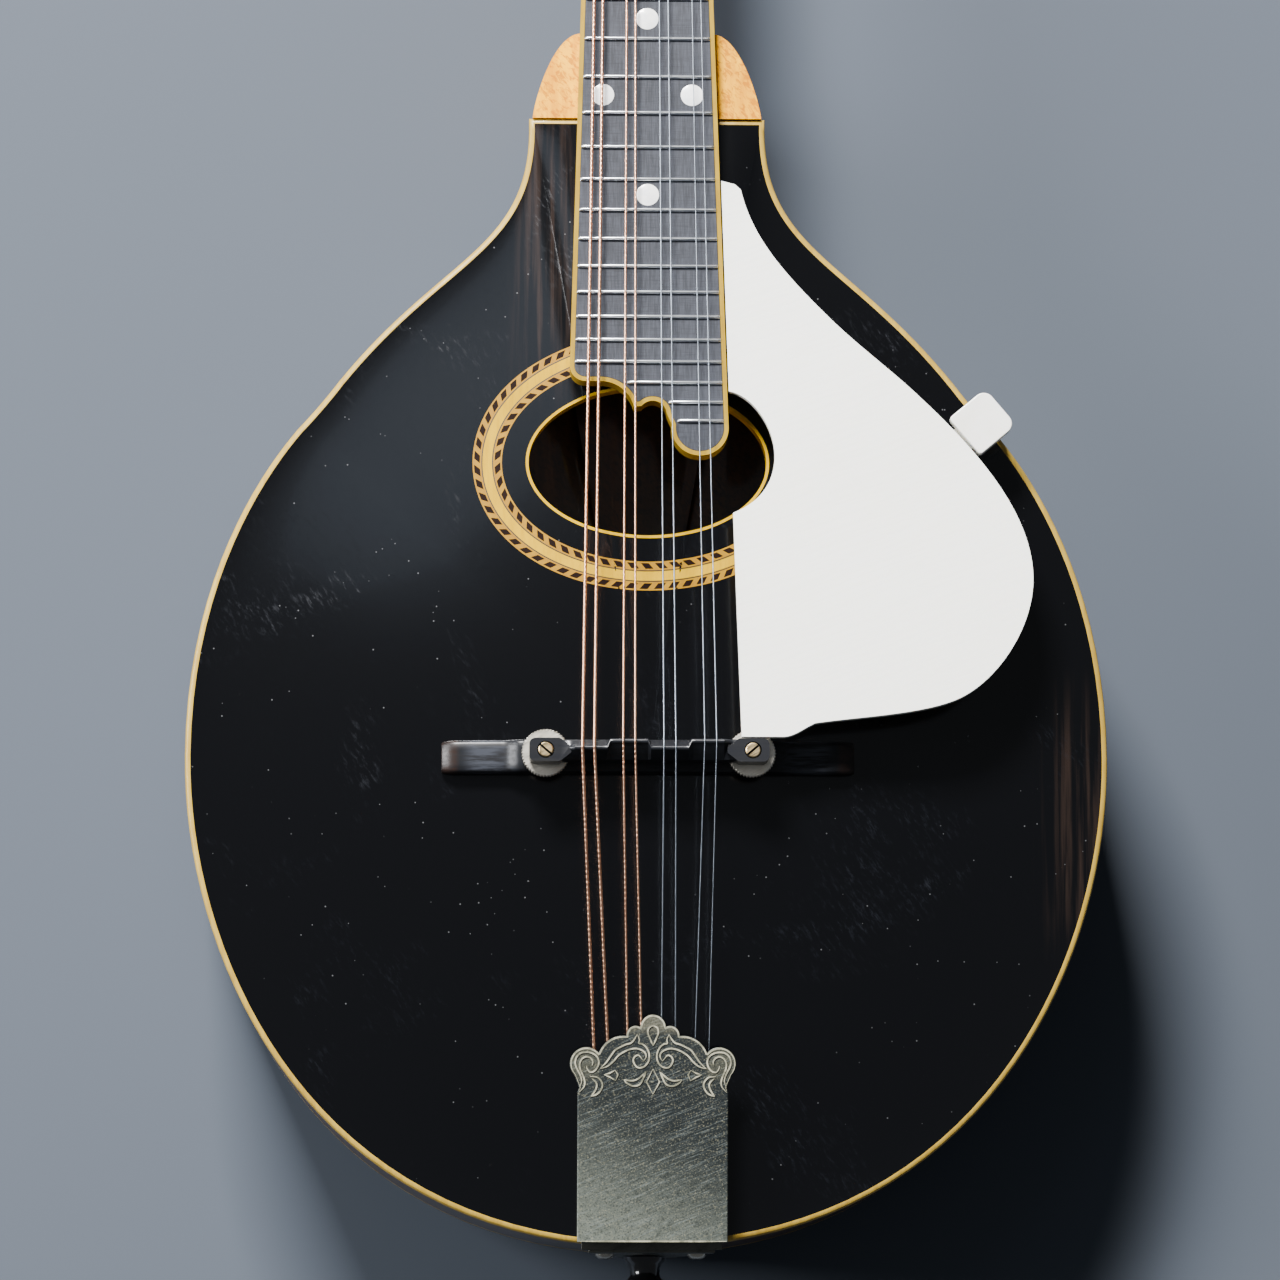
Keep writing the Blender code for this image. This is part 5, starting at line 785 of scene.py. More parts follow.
def hole_point(angle, offset):
    normal = Vector((cos(angle) / HOLE_HALF_WIDTH, sin(angle) / HOLE_HALF_LENGTH)).normalized()
    return (HOLE_HALF_WIDTH * cos(angle) + offset * normal.x,
            HOLE_PLACE + HOLE_HALF_LENGTH * sin(angle) + offset * normal.y)


def even_angles(offset, count):
    """Angles that divide a ring round the soundhole into equal lengths."""
    fine = np.linspace(0.0, 2 * pi, 1441)
    points = np.array([hole_point(angle, offset) for angle in fine])
    run = np.concatenate(([0.0], np.cumsum(np.linalg.norm(np.diff(points, axis=0), axis=1))))
    return np.interp(np.linspace(0.0, run[-1], count + 1), run, fine)


def surface_ring(start, end, rise=0.00004, depth=0.0009, steps=144):
    """A flush ring of inlay round the soundhole that follows the arch."""
    sections = []
    for angle in even_angles((start + end) / 2, steps)[:-1]:
        row = [hole_point(angle, offset) for offset in (start, (start + end) / 2, end)]
        upper = [(x, y, top_height(x, y) + rise) for x, y in row]
        lower = [(x, y, top_height(x, y) - depth) for x, y in (row[2], row[0])]
        sections.append(upper + lower)
    return loft(sections, closed_path=True)


def rope_ring(start, width, cells, slant):
    """Slanted dark and light blocks between two thin light edges."""
    edge, dark_share = 0.00042, 0.56
    inner, outer = start + edge, start + width - edge
    edge_blocks, rope_blocks = ((1, 0.0, 1.0),), ((0, 0.0, dark_share), (1, dark_share, 1.0))
    points, faces, marks = [], [], []
    angles = even_angles(start + width / 2, cells)
    for low, high, blocks, lean in ((start, inner, edge_blocks, 0.0), (inner, outer, rope_blocks, slant),
                                    (outer, start + width, edge_blocks, 0.0)):
        for first, after in zip(angles, angles[1:]):
            length = after - first
            for kind, begin, stop in blocks:
                corners = []
                for share in (begin, 0.5 * (begin + stop), stop):
                    corners.append((hole_point(first + length * share, low),
                                    hole_point(first + length * (share + lean), high)))
                for (a, b), (c, d) in zip(corners, corners[1:]):
                    base = len(points)
                    points.extend((x, y, top_height(x, y) + 0.00005) for x, y in (a, c, d, b))
                    faces.append((base, base + 1, base + 2, base + 3))
                    marks.append(kind)
    return new_mesh(points, faces, marks)


def make_plates():
    def top_outer(share):
        return EDGE_THICKNESS + TOP_ARCH * arch_shape(share)

    def top_inner(share):
        return SEAT_GAP + TOP_HOLLOW * arch_shape(share / LEDGE_SHARE)

    def back_outer(share):
        return EDGE_THICKNESS + BACK_ARCH * min(1.0, arch_shape(share) / arch_shape(BACK_REST))

    def back_inner(share):
        return BACK_HOLLOW * arch_shape(share / LEDGE_SHARE)

    top = piece("carved_top", plate(top_outer, top_inner, 0.0, 1.0), [LACQUER, SPRUCE], ROOT, "top_plate")
    carve(top, moved(prism([hole_point(angle, 0.0006) for angle in round_angles(96)], -0.02, 0.04), ROOT))
    for face in top.data.polygons:
        from_hole = hypot(face.center.x, face.center.y + MIDDLE - HOLE_PLACE)
        bare = face.normal.z < -0.2 or (abs(face.normal.z) < 0.3 and from_hole < 0.035)
        face.material_index = 1 if bare else 0
    piece("carved_back", plate(back_outer, back_inner, BACK_FACE, -1.0), BODY_WOOD, ROOT, "back_plate")
    cap = heel_cap_plan(JOINT_REACH - 0.006)
    cap = prism(cap, BACK_FACE - EDGE_THICKNESS, BACK_FACE - 0.0001)
    piece("heel_button", cap, BODY_WOOD, ROOT, bevel=0.0006)


def make_rim():
    sides = []
    for (ox, oy), (ix, iy) in zip(whole_path(0.0), whole_path(RIM_THICKNESS)):
        sides.append([(ox, oy, -RIM_DEPTH), (ox, oy, 0.0), (ix, iy, 0.0), (ix, iy, -RIM_DEPTH)])
    piece("bent_rim", loft(sides), BODY_WOOD, ROOT, "rim")
    dress(LINING_WOOD, "top_lining", "back_lining", "head_block", "tail_block")
    dress(SPRUCE, "cross_brace")


def make_bindings():
    """Strips round the plates' edges, rounded along their outer corner."""
    for name, node, low, high, path in (
            ("top_edge_binding", "top_binding", 0.0, EDGE_THICKNESS, closed_outline),
            ("back_edge_binding", "back_binding", BACK_FACE - EDGE_THICKNESS, BACK_FACE, whole_path)):
        sections = []
        for (ox, oy), (ix, iy) in zip(path(0.0), path(BINDING_WIDTH)):
            out = (Vector((ox, oy)) - Vector((ix, iy))).normalized() * 0.0005
            rounded = (ox - out.x, oy - out.y)
            if path is closed_outline:
                sections.append([(ox, oy, low), (ox, oy, high - 0.0006), (*rounded, high),
                                 (ix, iy, high + 0.00005), (ix, iy, low)])
            else:
                sections.append([(ox, oy, low + 0.0006), (ox, oy, high), (ix, iy, high), (ix, iy, low),
                                 (*rounded, low)])
        piece(name, loft(sections, path is closed_outline), EDGE_IVOROID, ROOT, node, sharp=60.0)


def make_rosette():
    piece("hole_edge_ring", surface_ring(-0.0001, 0.0007, 0.00012, 0.0050), YELLOW_IVOROID, ROOT,
          "soundhole_binding")
    piece("rosette_centre", surface_ring(0.0099, 0.0125), YELLOW_IVOROID, ROOT, "rosette_band")
    lines = [surface_ring(start, start + 0.00030, 0.00007) for start in (0.0096, 0.0125)]
    piece("rosette_thin_lines", joined(lines), THIN_BLACK, ROOT)
    for name, start, cells, slant in (("inner", 0.0072, 58, 0.34), ("outer", 0.0128, 67, -0.34)):
        piece("rope_" + name, rope_ring(start, 0.0024, cells, slant), [ROPE_DARK, ROPE_LIGHT], ROOT,
              "rosette_rope_" + name)


# Neck and fingerboard

def board_height(y):
    return -NUT_DROP + (NUT_PLACE - y) * tan(NECK_PITCH)


def board_half_width(y):
    return NUT_WIDTH / 2 + BOARD_FLARE / 2 * (NUT_PLACE - y) / cos(NECK_PITCH)


def board_underside(y):
    return board_height(y) - (BOARD_THICKNESS + SEAT_GAP) / cos(NECK_PITCH)


NECK_START = JOINT_REACH + SEAT_GAP
SHOULDER_LENGTH = 0.0243
SHAFT_DEPTH = 0.0150
SHAFT_GROWTH = 0.0025
HEEL_LENGTH = 0.052
HEEL_CAP = 0.0165


def shoulder_half_width(y):
    share = unit((y - NECK_START) / SHOULDER_LENGTH)
    board = board_half_width(y) - 0.0004
    return board + (JOINT_HALF_WIDTH - 0.0010 - board) * sqrt(1.0 - share ** 1.2)


def neck_floor(y):
    along = (NUT_PLACE - y) / (NUT_PLACE - NECK_START)
    shaft = board_underside(y) - (SHAFT_DEPTH + SHAFT_GROWTH * along)
    share = unit((NECK_START + HEEL_LENGTH - y) / (HEEL_LENGTH - HEEL_CAP))
    return shaft + (BACK_FACE - shaft) * (1.0 - sqrt(max(0.0, 1.0 - share ** 2.2)))


def neck_half_width(y, level):
    top = board_underside(y)
    past = max(0.0, 1.0 - (y - NECK_START) / HEEL_CAP)
    depth = (top - neck_floor(y)) * (1.0 + 0.16 * sqrt(past))
    power = 1.9 + 2.4 * past
    return shoulder_half_width(y) * (1.0 - unit((top - level) / depth) ** power) ** (1.0 / power)


def heel_cap_plan(root):
    cap = []
    for share in np.linspace(0.0, 0.985, 14):
        y = NECK_START + HEEL_CAP * share
        half = max(neck_half_width(y, BACK_FACE + 0.0006), 0.0015)
        cap.append((min(half, JOINT_HALF_WIDTH - BINDING_WIDTH - 0.0008), y))
    outline = [(cap[0][0], root)] + cap
    return outline + mirrored(reversed(outline))


def make_neck():
    def section(y):
        top, floor = board_underside(y), neck_floor(y)
        levels = [top - (top - floor) * (1.0 - cos(pi / 2 * s)) for s in np.linspace(0, 1, 15)]
        treble = [(max(neck_half_width(y, level), 0.0004), y, level) for level in levels]
        return treble + [(-x, py, pz) for x, py, pz in reversed(treble)]

    stations = [-0.00028, *np.linspace(0.0, 0.0140, 14), *np.linspace(0.0148, 0.0185, 10)]
    stations += [*(SHOULDER_LENGTH - 0.0053 * np.linspace(1.0, 0.0, 12) ** 1.6)]
    stations += [*np.linspace(0.0252, HEEL_LENGTH, 16), *np.linspace(0.0600, NUT_PLACE - NECK_START, 22)]
    sections = [section(NECK_START + along) for along in stations]
    last = section(NUT_PLACE)
    for share in (0.25, 0.5, 0.75, 1.0):
        overlap = 0.016 * share
        drop = tan(NECK_PITCH + HEADSTOCK_PITCH * share) * overlap
        sections.append([(x * (1 - 0.08 * share), y + overlap, z - drop * (1.0 if z > last[7][2] else 0.82))
                         for x, y, z in last])
    neck = piece("carved_neck", loft(sections), MAPLE, ROOT, "neck", sharp=50.0)
    carve(neck, moved(box((-0.05, -0.0003, -SEAT_GAP), (0.05, HEADSTOCK_LENGTH + 0.01, 0.02)), HEAD))


def headstock_outline():
    base, waist, tip = 0.0175, 0.0275, 0.0355
    shoulder, turn = 0.020, HEADSTOCK_LENGTH - 0.016
    side = bezier((base, 0.0003), (base, 0.010), (waist, 0.010), (waist, shoulder), 16, True)
    side += bezier((tip, turn), (tip, HEADSTOCK_LENGTH - 0.003), (0.016, HEADSTOCK_LENGTH),
                   (0.0, HEADSTOCK_LENGTH), 24)
    return side + [(0.0, HEADSTOCK_LENGTH)] + mirrored(reversed(side))


def post_places():
    return [(side * POST_SIDE, FIRST_POST + POST_SPACING * index, side)
            for side in (-1.0, 1.0) for index in range(4)]


def make_headstock():
    outline = headstock_outline()
    core = piece("headstock_core", prism(outline, -HEADSTOCK_THICKNESS, -0.0001), MAPLE, HEAD,
                 bevel=0.0012, segments=3)
    veneer = piece("headstock_veneer", prism(outline, 0.0, OVERLAY_THICKNESS), HEAD_EBONY, HEAD,
                   "headstock_overlay", bevel=0.0003)
    bore = POST_RADIUS + 0.0004
    holes = [moved(lathe([(-0.03, bore), (0.02, bore)], 24), HEAD @ at(x, y)) for x, y, side in post_places()]
    cutter = joined(holes)
    carve(core, cutter.copy())
    carve(veneer, cutter)


def fret_line(number):
    return -SCALE_LENGTH * (1.0 - 2.0 ** (-number / 12.0))


def inner_half(y):
    return NUT_WIDTH / 2 - BOARD_FLARE / 2 * y - 0.0013


def board_outline(grow=0.0):
    """The board with its scrolled end, moved outwards by a distance."""
    share = grow / BOARD_BINDING
    last_fret = fret_line(FRET_COUNT)
    scroll, lobe_y = last_fret + 0.0019, last_fret - 0.0019
    corner_y = scroll + 0.0135
    corner, lobe = 0.0030, 0.0066
    points = [(-inner_half(0.0) - grow, 0.0)]
    points += arc(-inner_half(corner_y) + corner, corner_y, corner + grow, 180.0, 270.0, 8)
    points += arc(-0.0130, scroll, 0.0105 - grow, 90.0, 19.0 - 6.0 * share, 20)
    points += arc(0.0012, scroll, 0.0050 - grow, 135.0 + 8.0 * share, 4.0, 20)
    points += arc(inner_half(lobe_y) - lobe, lobe_y, lobe + grow, 172.0, 360.0, 28)
    return points + [(inner_half(0.0) + grow, 0.0)]


def make_board():
    board = prism(board_outline(), -BOARD_THICKNESS, 0.0)
    piece("ebony_board", board, EBONY_BOARD, NECK, "fingerboard", bevel=0.0002)
    riser = []
    for y in np.linspace(JOINT_REACH - 0.006, JOINT_REACH - 0.072, 24):
        half = board_half_width(y) - 0.0022
        ceiling = board_height(y) - BOARD_THICKNESS / 2
        lower = [(half * side, y, top_height(half * side, y) + 0.0001) for side in np.linspace(-1, 1, 11)]
        riser.append(lower + [(half * side, y, ceiling) for side in (1.0, -1.0)])
    piece("board_wedge", loft(riser), EBONY_BOARD, ROOT)


def make_frets_and_dots():
    crown, high, root, end = 0.00048, 0.00085, -0.0003, 0.0006
    profile = [(-crown, root)] + [(-crown * cos(a), high * sin(a) ** 0.8)
                                  for a in np.linspace(0.25, pi - 0.25, 9)] + [(crown, root)]
    frets = []
    for number in range(1, FRET_COUNT + 1):
        y = fret_line(number)
        half = inner_half(y) - 0.0001
        bass = SHORT_FRETS.get(number, -half)
        stations = [(bass, 0.35), (bass + end, 1.0), (half - end, 1.0), (half, 0.35)]
        frets.append(loft([[(x, y + py, pz * size) for py, pz in profile] for x, size in stations]))
    piece("fret_wires", joined(frets), FRET_METAL, NECK)
    dots, radius, pair = [], 0.0031, 0.0123
    for number, side in ((5, 0), (7, 0), (10, 0), (12, -1), (12, 1), (15, 0)):
        y = 0.5 * (fret_line(number) + fret_line(number - 1))
        dot = lathe([(-0.001, radius), (0.00004, radius), (0.00008, radius - 0.0001)], 40)
        dots.append(moved(dot, at(pair * side, y)))
    piece("pearl_dots", joined(dots), PEARL, NECK)


def make_board_binding():
    sections = []
    for (ix, iy), (ox, oy) in zip(board_outline(), board_outline(BOARD_BINDING)):
        sections.append([(ix, iy, -BOARD_THICKNESS), (ox, oy, -BOARD_THICKNESS), (ox, oy, -0.00025),
                         (ox * 0.995 + ix * 0.005, oy, 0.00003), (ix, iy, 0.00003)])
    piece("board_edge_binding", loft(sections), BOARD_EDGE, NECK,
          ("board_binding_bass", "board_binding_treble"), sharp=60.0)


def make_nut():
    profile = [(0.0001, -BOARD_THICKNESS), (NUT_LENGTH, -BOARD_THICKNESS)]
    profile += [(NUT_LENGTH * (0.5 + 0.5 * cos(a)), NUT_HEIGHT * (0.35 + 0.65 * sin(a)))
                for a in np.linspace(0.0, pi / 2, 8)] + [(0.0001, NUT_HEIGHT)]
    nut = piece("bone_nut", drawn(profile, (-NUT_WIDTH / 2, NUT_WIDTH / 2)), BONE, NECK, "nut", bevel=0.0003)
    notches, above = [], 0.006
    for index, x in enumerate(course_places(*AT_NUT)):
        reach = STRING_DIAMETERS[index // 2] / 2 + 0.00012
        floor = NUT_HEIGHT - NUT_NOTCH + 0.0001 + reach
        outline = [(x + reach, above)] + arc(x, floor, reach, 0.0, -180.0, 6) + [(x - reach, above)]
        notches.append(drawn(outline, (-0.002, 0.008), "Y"))
    carve(nut, moved(joined(notches), NECK))


# Tuners, in the headstock's frame

PLATE_FACE = -HEADSTOCK_THICKNESS - SEAT_GAP - PLATE_SHEET
GEAR_TOP = PLATE_FACE - 0.0018
GEAR_LOW = GEAR_TOP - GEAR_FACE
WORM_LEVEL = GEAR_TOP - GEAR_FACE / 2
CENTRE_DISTANCE = GEAR_PITCH_RADIUS + WORM_PITCH_RADIUS
WORM_PITCH = 2 * pi * GEAR_PITCH_RADIUS / GEAR_TEETH
COLLAR = 0.0395 - POST_SIDE


def threaded(low, high, root, crest, pitch, shift=0.0, sides=24, rows=10):
    """A rod along X with a helical ridge."""
    sections = []
    for along in np.linspace(low, high, int((high - low) / pitch * rows) + 1):
        ring = []
        for angle in round_angles(sides):
            phase = along / pitch - (angle - pi / 2) / (2 * pi) - shift
            off = abs(phase - round(phase))
            reach = root + (crest - root) * unit((0.24 - off) / 0.14)
            ring.append((along, reach * sin(angle), -reach * cos(angle)))
        sections.append(ring)
    return loft(sections)


def knurled(profile, teeth, depth, inner=None):
    """A turned rim with fine knurls, round a hole or solid: the profile is (height, radius, share)."""
    sections = []
    for index, angle in enumerate(round_angles(4 * teeth)):
        cut = depth * (0.0, 0.6, 1.0, 0.6)[index % 4]
        row = [(radius - cut * share, level) for level, radius, share in profile]
        row += [(inner, profile[-1][0]), (inner, profile[0][0])] if inner else []
        sections.append([(*on_circle(reach, angle), level) for reach, level in row])
    return loft(sections, True) if inner else loft(list(zip(*sections)))


def slotted_head(radius, height, width=0.0006):
    """A domed screw head with a slot, its face up."""
    profile, dome = [(-0.0004, radius), (0.0, radius)], 1.15
    profile += [(height * sin(a) / sin(dome), radius * (cos(a) * 0.78 + 0.22))
                for a in np.linspace(0.0, dome, 7)[1:]]
    head = linked("head", lathe(profile, 28))
    carve(head, box((-radius, -width / 2, height * 0.45), (radius, width / 2, height + 0.001)))
    mesh = head.data
    bpy.data.objects.remove(head, do_unlink=True)
    return mesh


def post_shape():
    """A string post with its waist, its gear and the gear's screw."""
    tooth = ((-0.0007, -0.5), (-0.0002, -0.30), (0.0004, -0.13), (0.0004, 0.13), (-0.0002, 0.30))
    outline = [on_circle(GEAR_PITCH_RADIUS + reach, angle - pi / 2 + offset * 2 * pi / GEAR_TEETH)
               for angle in round_angles(GEAR_TEETH) for reach, offset in tooth]
    waist_half, bend, dome = 0.0022, 0.0006, 0.0009
    low, high = STRING_POST_LEVEL - waist_half, STRING_POST_LEVEL + waist_half
    waist = [(bend * s, POST_RADIUS - (POST_RADIUS - POST_WAIST) * sin(s * pi / 2))
             for s in (0.35, 0.7, 1.0)]
    turned = [(GEAR_LOW - 0.0006, POST_RADIUS * 0.95), (low, POST_RADIUS)]
    turned += [(low + along, radius) for along, radius in waist]
    turned += [(high - along, radius) for along, radius in reversed(waist)]
    turned += [(high, POST_RADIUS), (POST_HEIGHT - dome, POST_RADIUS)]
    turned += [(POST_HEIGHT - dome + dome * sin(a), POST_RADIUS * (0.6 + 0.4 * cos(a)))
               for a in (0.4, 0.8, 1.2, pi / 2)]
    screw = moved(slotted_head(0.0024, 0.0010), at(0.0, 0.0, GEAR_LOW, "X", pi))
    return joined([lathe(turned, 28), prism(outline, GEAR_LOW, GEAR_TOP), screw])


def key_shape():
    """A worm and its shaft, along X."""
    inner_end = -EAR_PLACE - 2 * EAR_HALF - 0.0008
    worm = threaded(-1.55 * WORM_PITCH, 1.05 * WORM_PITCH, 0.0019, 0.0030, WORM_PITCH, 0.5)
    shaft = [(inner_end, 0.0012), (inner_end + 0.0003, 0.0015)]
    shaft += [(COLLAR + along, radius) for along, radius in (
        (-0.0030, 0.0015), (-0.0026, 0.0021), (-0.0016, 0.0021), (-0.0012, 0.0017), (0.0, 0.0019),
        (0.0010, 0.0027), (0.0024, 0.0030))]
    return joined([worm, lathe(shaft, 28, "X")])


def knob_shape():
    """A button: an oval, flat and a little wider at its outer end."""
    length, width, thickness = 0.00775, 0.0078, 0.0041
    builder = bmesh.new()
    bmesh.ops.create_uvsphere(builder, u_segments=36, v_segments=24, radius=0.5,
                              matrix=Matrix.Rotation(pi / 2, 4, "Y"))
    for vertex in builder.verts:
        x, y, z = vertex.co * 2.0
        swell, rounding = 1.0 - 0.16 * x, 1.0 - 0.10 * (1.0 - abs(z)) * y * y
        level = copysign(abs(z) ** 0.9, z) * thickness
        vertex.co = Vector((x * length, y * width / swell * rounding, level))
    bmesh.ops.translate(builder, vec=(COLLAR + 0.0012 + length, 0, 0), verts=builder.verts)
    mesh = bpy.data.meshes.new("knob")
    builder.to_mesh(mesh)
    builder.free()
    return mesh


def make_tuners():
    post, key, knob = post_shape(), key_shape(), knob_shape()
    for number, (x, y, side) in enumerate(post_places(), 1):
        piece("tuner_post_%d" % number, post.copy(), NICKEL, HEAD @ at(x, y), "string_post_%d" % number,
              "post_%d" % number, bevel=0.00012, segments=1)
        at_key = HEAD @ at(x, y - CENTRE_DISTANCE, WORM_LEVEL, "Y", 0.0 if side > 0 else pi)
        for name, mesh, paint in (("tuner_shaft_%d", key, NICKEL), ("tuner_knob_%d", knob, BUTTON_IVOROID)):
            piece(name % number, mesh.copy(), paint, at_key, "tuner_button_%d" % number, "tuner_%d" % number,
                  sharp=50.0)
    bushing = [(0.0014, 0.0044, 0.0), (0.0021, 0.0044, 0.0), (0.0028, 0.0042, 0.0), (0.0034, 0.0037, 0.0),
               (0.0038, 0.0031, 0.0)]
    collars = [moved(knurled(bushing, 12, 0.0, 0.0029), at(x, y)) for x, y, side in post_places()]
    piece("post_bushings", joined(collars), NICKEL, HEAD, sharp=60.0)


def make_tuner_strips():
    """The two plates with their bearing ears and screws."""
    first, last, half, corner = FIRST_POST - 0.0165, FIRST_POST + 3 * POST_SPACING + 0.0135, 0.0072, 0.003
    ear_width = 0.0030
    rounded = rounded_plan((-half, first), (half, last), ((corner, 8), (corner, 8)))
    between = 0.5 * (GEAR_PITCH_RADIUS + POST_SPACING - CENTRE_DISTANCE - ear_width)
    screws = ((first + 0.0026, 0.5), (FIRST_POST + POST_SPACING + between, -0.8), (last - 0.0034, 1.2))
    for name, side in (("bass", -1.0), ("treble", 1.0)):
        parts = [prism(rounded, PLATE_FACE, PLATE_FACE + PLATE_SHEET)]
        for index in range(4):
            middle = FIRST_POST + POST_SPACING * index - CENTRE_DISTANCE
            ear = [(middle + ear_width, PLATE_FACE + 0.0005), (middle - ear_width, PLATE_FACE + 0.0005)]
            ear += arc(middle, WORM_LEVEL, ear_width, 180, 360, 14)
            parts += [drawn(ear, (reach - EAR_HALF, reach + EAR_HALF)) for reach in (-EAR_PLACE, EAR_PLACE)]
        for y, angle in screws:
            spin = at(0.0, y, PLATE_FACE, "X", pi) @ at(axis="Z", angle=angle)
            parts.append(moved(slotted_head(0.0019, 0.0010, 0.0005), spin))
        piece("tuner_strip_" + name, joined(parts), NICKEL, HEAD @ at(side * POST_SIDE),
              "tuner_plate_" + name, bevel=0.00015, segments=1)


# Bridge

def make_foot():
    """The foot follows the arch below; its middle is high, its two wings are low and rounded."""
    sections = []
    for share in np.linspace(-1.0, 1.0, 121):
        x, size = 0.0558 * share, abs(share)
        past = max(0.0, (size - 0.92) / 0.08)
        half = 0.00445 - 0.0004 * past ** 4
        low, high = FOOT_PLACE - half, FOOT_PLACE + half
        ramp = unit((size - 0.61) / 0.09)
        wing = top_height(x, FOOT_PLACE) + 0.0040 - 0.0014 * past ** 2
        level = FOOT_LEVEL + (wing - FOOT_LEVEL) * ramp * ramp * (3.0 - 2.0 * ramp)
        floor = [(x, y, top_height(x, y) + 0.00005) for y in np.linspace(low, high, 7)]
        corner = [(0.0, -0.0010), (0.0003, -0.0003), (0.0010, 0.0), (0.0025, 0.00005)]
        roof = [(x, high - inward, level + drop) for inward, drop in corner]
        roof += [(x, low + inward, level + drop) for inward, drop in reversed(corner)]
        sections.append(floor + roof)
    piece("ebony_foot", loft(sections), FOOT_EBONY, ROOT, "bridge_foot", bevel=0.0003, sharp=45.0)


def make_posts_and_wheels():
    top = SADDLE_LOW + SADDLE_BOSS + 0.0003
    radius, thick, slot_half = WHEEL_DIAMETER / 2, WHEEL_THICKNESS, 0.0003
    rim = [(0.0, radius - 0.00045, 0.4), (0.00025, radius - 0.0001, 1.0), (0.0004, radius, 1.0)]
    rim += [(thick - level, reach, share) for level, reach, share in reversed(rim)]
    rim += [(thick, radius - 0.0012, 0.0)]
    for name, side, turn in (("bass", -0.5, -40.0), ("treble", 0.5, 40.0)):
        place = ROOT @ at(POST_SPREAD * side, BRIDGE_PLACE)
        rod = threaded(FOOT_LEVEL - 0.0030, top - 0.0004, 0.00178, 0.0020, 0.0008, 0.0, 24, 8)
        post = piece("brass_post_" + name, moved(rod, at(axis="Y", angle=-pi / 2)), BRASS, place,
                     "bridge_post_" + name, sharp=60.0)
        cap = [(top - 0.0008, 0.0017), (top - 0.0005, 0.00195), (top - 0.0002, 0.00195), (top, 0.0017)]
        carve(post, moved(lathe(cap, 32), place), "UNION")
        slot = box((-0.004, -slot_half, top - 0.0008), (0.004, slot_half, top + 0.002))
        carve(post, moved(slot, place @ at(axis="Z", angle=radians(turn))))
        # painted shade: the faces inside the slot take the dark material
        post.data.materials.append(GROOVE_SHADE)
        for face in post.data.polygons:
            x, y, z = place.inverted() @ face.center
            inside = hypot(x, y) < 0.0015 and top - 0.0010 < z < top - 0.0001
            face.material_index = 1 if inside else 0
        wheel = knurled(rim, 46, 0.00028, 0.0023)
        piece("knurled_wheel_" + name, wheel, WHEEL_METAL, place @ at(z=WHEEL_LOW), "wheel_" + name,
              "thumbwheel_" + name, sharp=30.0)


def make_saddle():
    """A bar with a crest that steps from course to course, and a boss round each post."""
    half, bar_end = 0.0027, POST_SPREAD / 2 - 0.0030
    back, front = BRIDGE_PLACE - half, BRIDGE_PLACE + half
    centres = course_places(*AT_SADDLE)
    edges = [-bar_end] + [0.5 * (centres[index] + centres[index + 1]) for index in (1, 3, 5)] + [bar_end]
    crest_low, crest_height = SADDLE_TOP - 0.0003, 0.0006
    sections = []
    for crest, start, end in zip(CREST_PLACES, edges, edges[1:]):
        for x in np.linspace(start + 0.0004, end - 0.0004, 13):
            fall = 0.0014 * unit((abs(x) - POST_SPREAD / 2 + 0.0076) / 0.0014)
            side = [(back, SADDLE_LOW), (front, SADDLE_LOW), (front, SADDLE_TOP - 0.0024),
                    (front - 0.0002, SADDLE_TOP - 0.0019)]
            side += [(crest + 0.0007 * cos(a), crest_low - fall + crest_height * sin(a))
                     for a in np.linspace(0.1, pi - 0.1, 7)]
            side += [(back + 0.0003, SADDLE_TOP - 0.0030), (back, SADDLE_TOP - 0.0036)]
            sections.append([(x, y, z) for y, z in side])
    saddle = piece("stepped_saddle", loft(sections), EBONY_BRIDGE, ROOT, "saddle", "bridge_saddle",
                   bevel=0.00025, sharp=30.0)
    width = 0.00315
    treble = [(-0.0044, 0.0), (-0.0044, width - 0.0013), (-0.0040, width - 0.0005), (-0.0031, width),
              (0.0036, width), (0.0042, width - 0.0003), (0.0068, 0.0008)]
    plan = treble + [(x, -y) for x, y in reversed(treble[1:])]
    for side in (-0.5, 0.5):
        place = ROOT @ at(POST_SPREAD * side, BRIDGE_PLACE)
        boss = prism([(-x * 2 * side, y) for x, y in plan], SADDLE_LOW, SADDLE_LOW + SADDLE_BOSS)
        carve(saddle, moved(boss, place), "UNION")
        carve(saddle, moved(lathe([(0.0, 0.0023), (0.05, 0.0023)], 32), place))


# Tailpiece, in its tilted frame

def cover_outline():
    half = COVER_HALF_WIDTH
    treble = [(half, COVER_START), (half, 0.0424), (half - 0.0001, 0.0430), (half - 0.0004, 0.0438)]
    for centre_x, centre_y, radius, first, last in (
            (0.0178, 0.0501, 0.0044, -42.0, 138.9), (0.0079, 0.0506, 0.0070, 20.0, 96.5),
            (0.0046, 0.0577, 0.0025, -3.3, 118.6), (0.0, 0.0598, 0.0034, 1.7, 90.0)):
        treble += arc(centre_x, centre_y, radius, first, last, int((last - first) / 5))
    return treble + mirrored(reversed(treble[:-1]))


def inset_path(path, distance):
    """A closed path that runs to the left, moved inwards."""
    points = np.array(path)
    along = np.roll(points, -1, axis=0) - points
    normals = np.stack((-along[:, 1], along[:, 0]), axis=1) / np.linalg.norm(along, axis=1)[:, None]
    middles = normals + np.roll(normals, 1, axis=0)
    middles /= np.linalg.norm(middles, axis=1)[:, None]
    reach = distance / np.maximum(0.5, (middles * normals).sum(axis=1))
    return [tuple(point) for point in points + middles * reach[:, None]]


